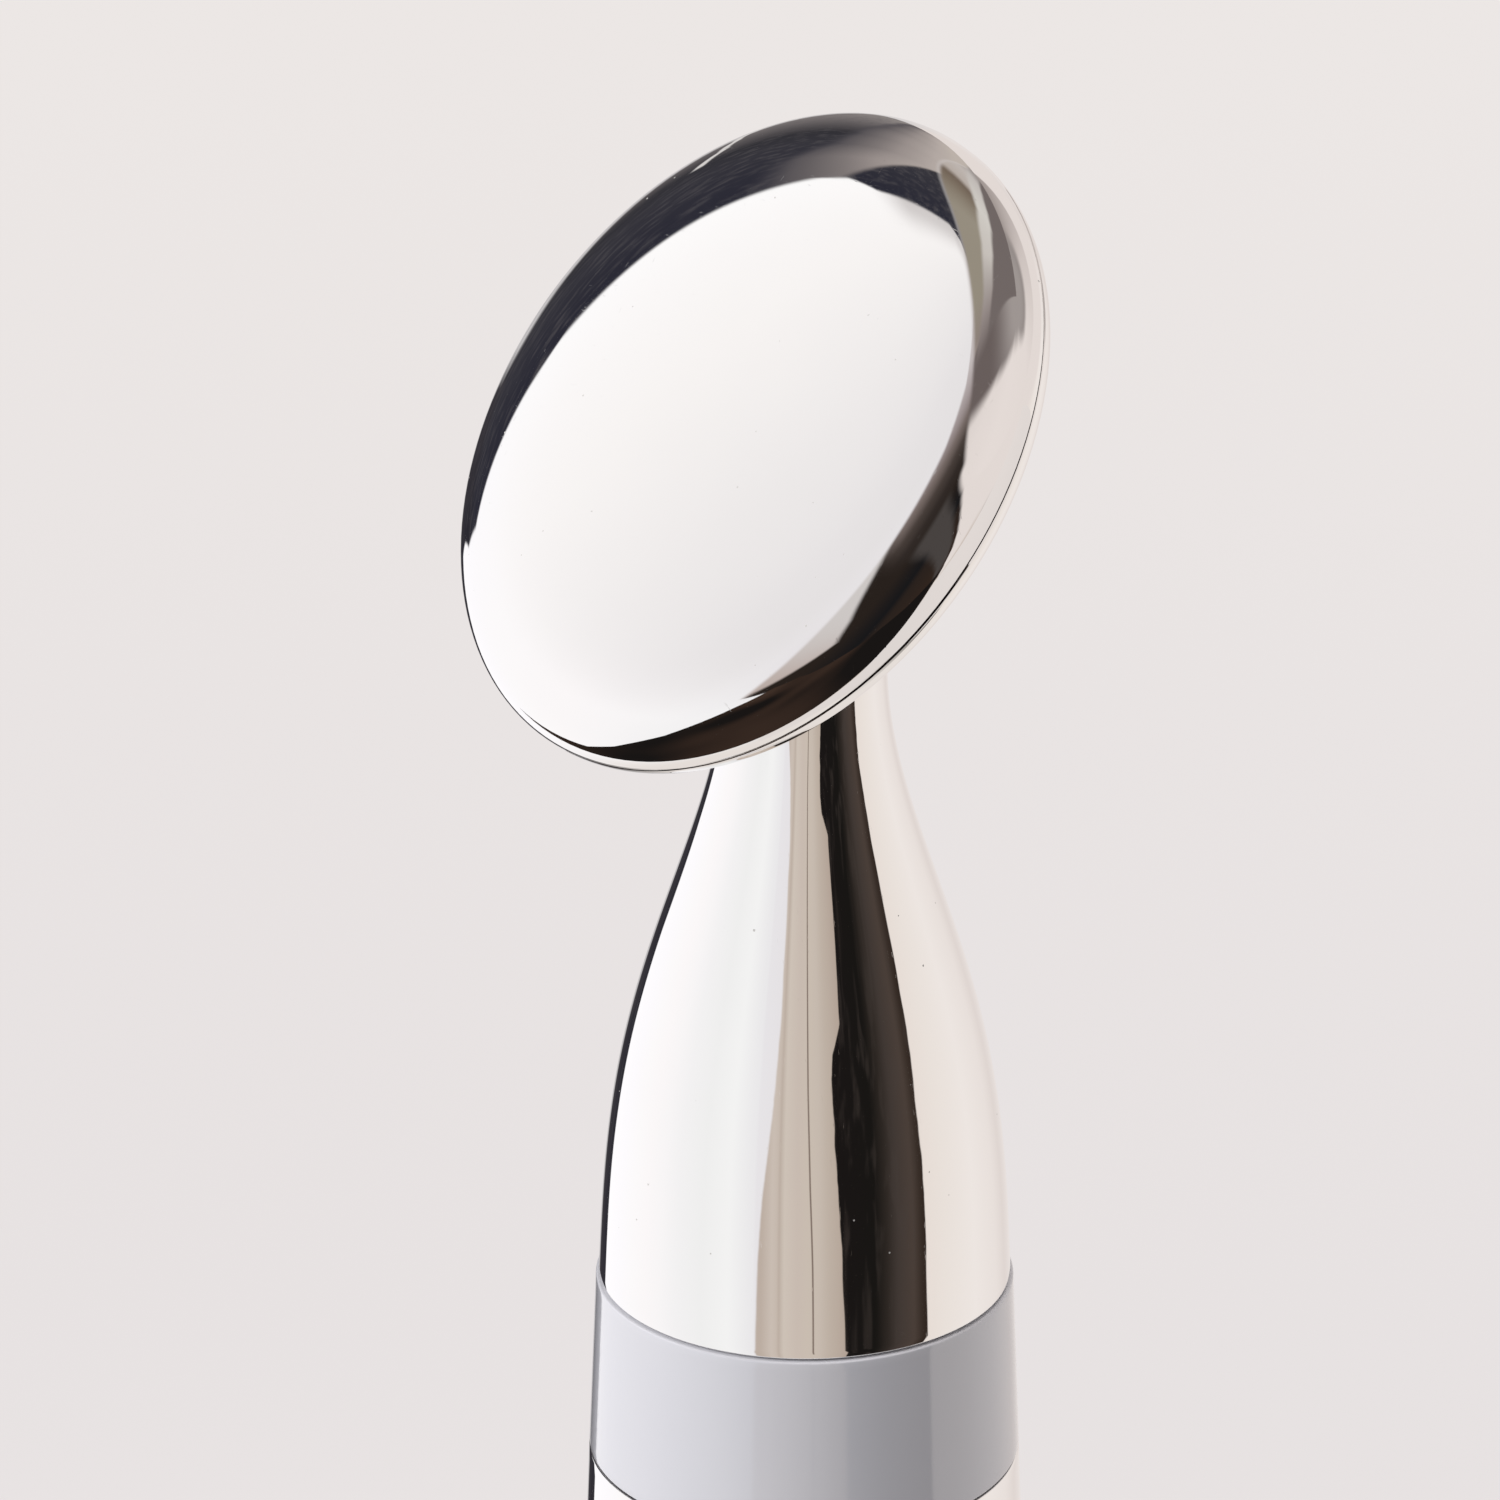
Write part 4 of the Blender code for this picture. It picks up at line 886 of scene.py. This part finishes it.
def high_room(sky):
    height = sky.height
    zenith = sky.mix(sky.remap(height, 60.0, 84.0), tone(ZENITH_LOW_TONE),
                     tone(ZENITH_HIGH_TONE))
    return sky.mix(sky.step(height, sky.curve(sky.bearing, DOME_TOP), 7.0),
                   sky.by_bearing(HIGH_BANDS), zenith)


def dark_side(sky, panel_left):
    """Streaked dark room beyond the panel's left edge, its pale loft and a thin arc."""
    bearing, height = sky.bearing, sky.height
    beyond = sky.math("DIVIDE", sky.minus(panel_left, bearing), LEFT_REACH)
    side = sky.mix(sky.step(height, 1.0, 8.0),
                   sky.ramp(beyond, band_stops(LEFT_LOW, 0.0, LEFT_REACH)),
                   sky.ramp(beyond, band_stops(LEFT_HIGH, 0.0, LEFT_REACH)))
    streaks = sky.remap(sky.cloud((13.0, 13.0, 5.0), 5.0, 4.0), 0.46, 0.74, 0.0, 0.5)
    side = sky.mix(streaks, side, tone(STREAK_TONE))
    above = sky.minus(height, sky.curve(bearing, LOFT_LOW))
    loft = sky.both(sky.step(sky.minus(LOFT_RIGHT, height), bearing, 1.6),
                    sky.step(above, 0.0, 3.0))
    side = sky.mix(loft, side, sky.ramp(sky.math("DIVIDE", above, LOFT_REACH),
                                        band_stops(LOFT_TONES, 0.0, LOFT_REACH)))
    arc = sky.both(sky.step(0.6, sky.off(height, sky.curve(bearing, ARC)), 0.6),
                   sky.step(ARC_RIGHT, bearing, 2.0))
    return sky.mix(arc, side, tone(ARC_TONE))


def with_panel(sky, room):
    """The room with the white panel, its grey left fringe and the dark side beyond it."""
    bearing, height = sky.bearing, sky.height
    left = sky.curve(height, PANEL_LEFT)
    panel = sky.both(sky.step(sky.curve(height, PANEL_RIGHT), bearing, 2.5),
                     sky.step(PANEL_TOP, height, 2.0))
    white = sky.mix(sky.step(height, 20.0, 22.0), sky.by_bearing(PANEL_LOW),
                    sky.by_bearing(PANEL_HIGH))
    room = sky.mix(panel, room, white)
    fringe = sky.both(sky.remap(sky.minus(bearing, left), 1.0, 6.0, 0.9, 0.0),
                      sky.step(height, FRINGE_LOW, 4.0))
    room = sky.mix(sky.both(fringe, panel), room, tone(FRINGE_TONE))
    is_left = sky.both(sky.step(left, bearing, 0.8), sky.step(CEILING, height, 2.0))
    return sky.mix(is_left, room, dark_side(sky, left))


def with_crest(sky, room):
    """The room with a dim ceiling left of the corner, and a pale crest along it."""
    height = sky.height
    crest = sky.curve(sky.bearing, CREST)
    behind = sky.step(CORNER, sky.bearing, 4.0)
    room = sky.mix(sky.both(behind, sky.step(height, crest, 3.0)), room,
                   tone(DIM_TONE))
    glint = sky.both(behind, sky.step(3.2, sky.off(height, crest), 2.5))
    return sky.mix(glint, room, sky.by_bearing(TOP_BANDS))


def make_world():
    """Soft studio. Mirrors see its panels and bands, the camera sees a plain pale
    backdrop, and matt surfaces get an even fill."""
    world = bpy.data.worlds.new("studio")
    bpy.context.scene.world = world
    world.use_nodes = True
    world.cycles.sampling_method = "NONE"
    sky = Studio(world.node_tree)
    height = sky.height
    lift = sky.math("DIVIDE", sky.minus(height, LOW_TOP),
                    sky.curve(sky.bearing, LOW_FADE))
    room = sky.mix(sky.remap(lift, 0.0, 1.0), low_room(sky), middle_room(sky))
    room = sky.mix(sky.step(height, CEILING, 2.0), room, high_room(sky))
    room = with_crest(sky, with_panel(sky, room))
    room = sky.mix(sky.remap(height, -68.0, -33.0), tone(FLOOR_TONE), room)
    path = sky.add("ShaderNodeLightPath")
    seen = sky.mix(path.outputs["Is Glossy Ray"], FILL, room)
    seen = sky.mix(path.outputs["Is Camera Ray"], seen, linear(*BACKDROP))
    sky.link(seen, world.node_tree.nodes["Background"].inputs["Color"])


def make_ribbon(name, edges, scale, tones):
    """Small curved card before the disc's edge, toned by a noise of the given scale."""
    builder = bmesh.new()
    loops = []
    for (first, near, far), (last, near_next, far_next) in zip(edges, edges[1:]):
        for share in spaced(0.0, 1.0, 10):
            angle = math.radians(first + (last - first) * share)
            reach = near + (near_next - near) * share, far + (far_next - far) * share
            loops.append([builder.verts.new(disc_point(RIBBON_RADIUS, angle, forward) * MM)
                          for forward in spaced(*reach, 8)])
    for lower, upper in zip(loops, loops[1:]):
        for i in range(len(lower) - 1):
            builder.faces.new((lower[i], lower[i + 1], upper[i + 1], upper[i]))
    ribbon = add_object(name, builder)
    made, graph, _ = new_material(name)
    place = graph.add("ShaderNodeTexCoord").outputs["Object"]
    cloth = graph.noise(stretched(graph, place, (1.0, 1.0, 0.35)), scale, 1.5)
    glow = graph.add("ShaderNodeEmission")
    graph.link(graph.ramp(cloth, tones), glow.inputs["Color"])
    graph.link(glow.outputs[0], made.node_tree.nodes["Material Output"].inputs["Surface"])
    ribbon.data.materials.append(made)
    for kind in ("camera", "diffuse", "transmission", "volume_scatter", "shadow"):
        setattr(ribbon, "visible_" + kind, False)


def make_floor():
    """Pale floor: matt round the foot, and fading into the backdrop further out."""
    builder = bmesh.new()
    bmesh.ops.create_circle(builder, cap_ends=True, cap_tris=True, segments=96, radius=6.0)
    floor = add_object("floor", builder)
    floor.location = (0.0, 0.0, -0.0002)
    made, graph, shader = new_material("floor")
    place = graph.add("ShaderNodeTexCoord").outputs["Object"]
    shader.inputs["Base Color"].default_value = (0.82, 0.80, 0.79, 1.0)
    shader.inputs["Roughness"].default_value = 0.9
    shader.inputs["Specular IOR Level"].default_value = 0.0
    glow = graph.add("ShaderNodeEmission")
    parts = graph.add("ShaderNodeSeparateXYZ")
    graph.link(place, parts.inputs[0])
    azimuth = math.radians(VIEW_AZIMUTH)
    away = graph.math("ADD", graph.math("MULTIPLY", parts.outputs["X"], -math.sin(azimuth)),
                      graph.math("MULTIPLY", parts.outputs["Y"], math.cos(azimuth)))
    faded = graph.mix(graph.remap(away, 0.12, 0.55), linear(231, 226, 226), linear(*BACKDROP))
    graph.link(faded, glow.inputs["Color"])
    distance = graph.add("ShaderNodeVectorMath", operation="LENGTH")
    graph.link(place, distance.inputs[0])
    blend = graph.add("ShaderNodeMixShader")
    graph.link(graph.remap(distance.outputs["Value"], 0.05, 0.20), blend.inputs[0])
    graph.link(shader.outputs[0], blend.inputs[1])
    graph.link(glow.outputs[0], blend.inputs[2])
    output = made.node_tree.nodes["Material Output"]
    graph.link(blend.outputs[0], output.inputs["Surface"])
    floor.data.materials.append(made)
    floor.visible_glossy = False
    floor.visible_diffuse = False


def outward(bearing, height):
    """Direction from the wand, given by its bearing from the camera and its height."""
    azimuth, rise = math.radians(VIEW_AZIMUTH + bearing), math.radians(height)
    return Vector((math.sin(azimuth) * math.cos(rise), -math.cos(azimuth) * math.cos(rise),
                   math.sin(rise)))


def make_light(name, bearing, height, power, colour):
    """Large soft panel that lights matt surfaces; mirrors see the studio's panels instead."""
    away = outward(bearing, height)
    lamp = bpy.data.lights.new(name, "AREA")
    lamp.shape, lamp.size, lamp.energy, lamp.color = "DISK", PANEL_SIZE, power, colour
    light = bpy.data.objects.new(name, lamp)
    light.location = Vector((0.0, 0.0, PANEL_AIM)) + away * PANEL_DISTANCE
    light.rotation_euler = away.to_track_quat("Z", "Y").to_euler()
    light.visible_camera = False
    light.visible_glossy = False
    bpy.context.scene.collection.objects.link(light)


def make_camera():
    """The photograph's view: level on the wand's axis, which stands right of the middle."""
    azimuth = math.radians(VIEW_AZIMUTH)
    right = Vector((math.cos(azimuth), math.sin(azimuth), 0.0))
    on_axis = Vector((0.0, 0.0, VIEW_HEIGHT))
    eye = on_axis + outward(0.0, VIEW_ELEVATION) * VIEW_DISTANCE
    target = on_axis - right * AXIS_OFFSET
    camera = bpy.data.objects.new("camera", bpy.data.cameras.new("camera"))
    camera.data.lens, camera.data.sensor_width = LENS, SENSOR
    camera.data.clip_start, camera.data.clip_end = 0.01, 30.0
    camera.location = eye * MM
    camera.rotation_euler = (eye - target).to_track_quat("Z", "Y").to_euler()
    bpy.context.scene.collection.objects.link(camera)
    bpy.context.scene.camera = camera


# ---- the whole
def main():
    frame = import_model()
    head_chrome = chrome("head_chrome", 0.30)
    handle_chrome = chrome("handle_chrome", 0.12)
    looks = {name: plain_finish(name, *values) for name, values in FINISHES.items()}
    make_plate(head_chrome)
    make_head(head_chrome)
    make_collar(collar_plastic())
    make_handle(handle_chrome)
    make_cap(handle_chrome)
    make_thread(handle_chrome)
    groove = SPIGOT_RADIUS - SEAL_DEPTH
    make_o_ring("cap_seal", groove, CAP_SEAL_BOTTOM, looks["rubber"], "cap", "cap_o_ring")
    make_o_ring("lower_seal", groove, LOWER_SEAL_BOTTOM, looks["rubber"], "wand", "lower_o_ring")
    make_o_ring("upper_seal", UPPER_SPIGOT_RADIUS - SEAL_DEPTH, UPPER_SEAL_BOTTOM,
                looks["rubber"], "wand", "upper_o_ring")
    make_spring(looks["spring"])
    node_looks = {name: looks[finish] for name, finish in NODE_FINISH.items()}
    node_looks["battery_cell"] = cell_sleeve()
    for name, look in node_looks.items():
        frame["nodes"][name].data.materials.clear()
        frame["nodes"][name].data.materials.append(look)
    make_world()
    make_ribbon("dark_flag", FLAG_EDGES, 60.0, FLAG_TONES)
    make_ribbon("pale_card", CARD_EDGES, 40.0, CARD_TONES)
    make_floor()
    make_light("key_panel", -62.0, 30.0, 9.0, (1.0, 0.99, 1.0))
    make_light("rim_panel", 95.0, 25.0, 2.3, (1.0, 0.92, 0.89))
    make_light("top_panel", 0.0, 89.0, 1.7, (1.0, 0.98, 0.97))
    make_camera()
    bpy.context.scene.view_settings.view_transform = "Standard"


main()
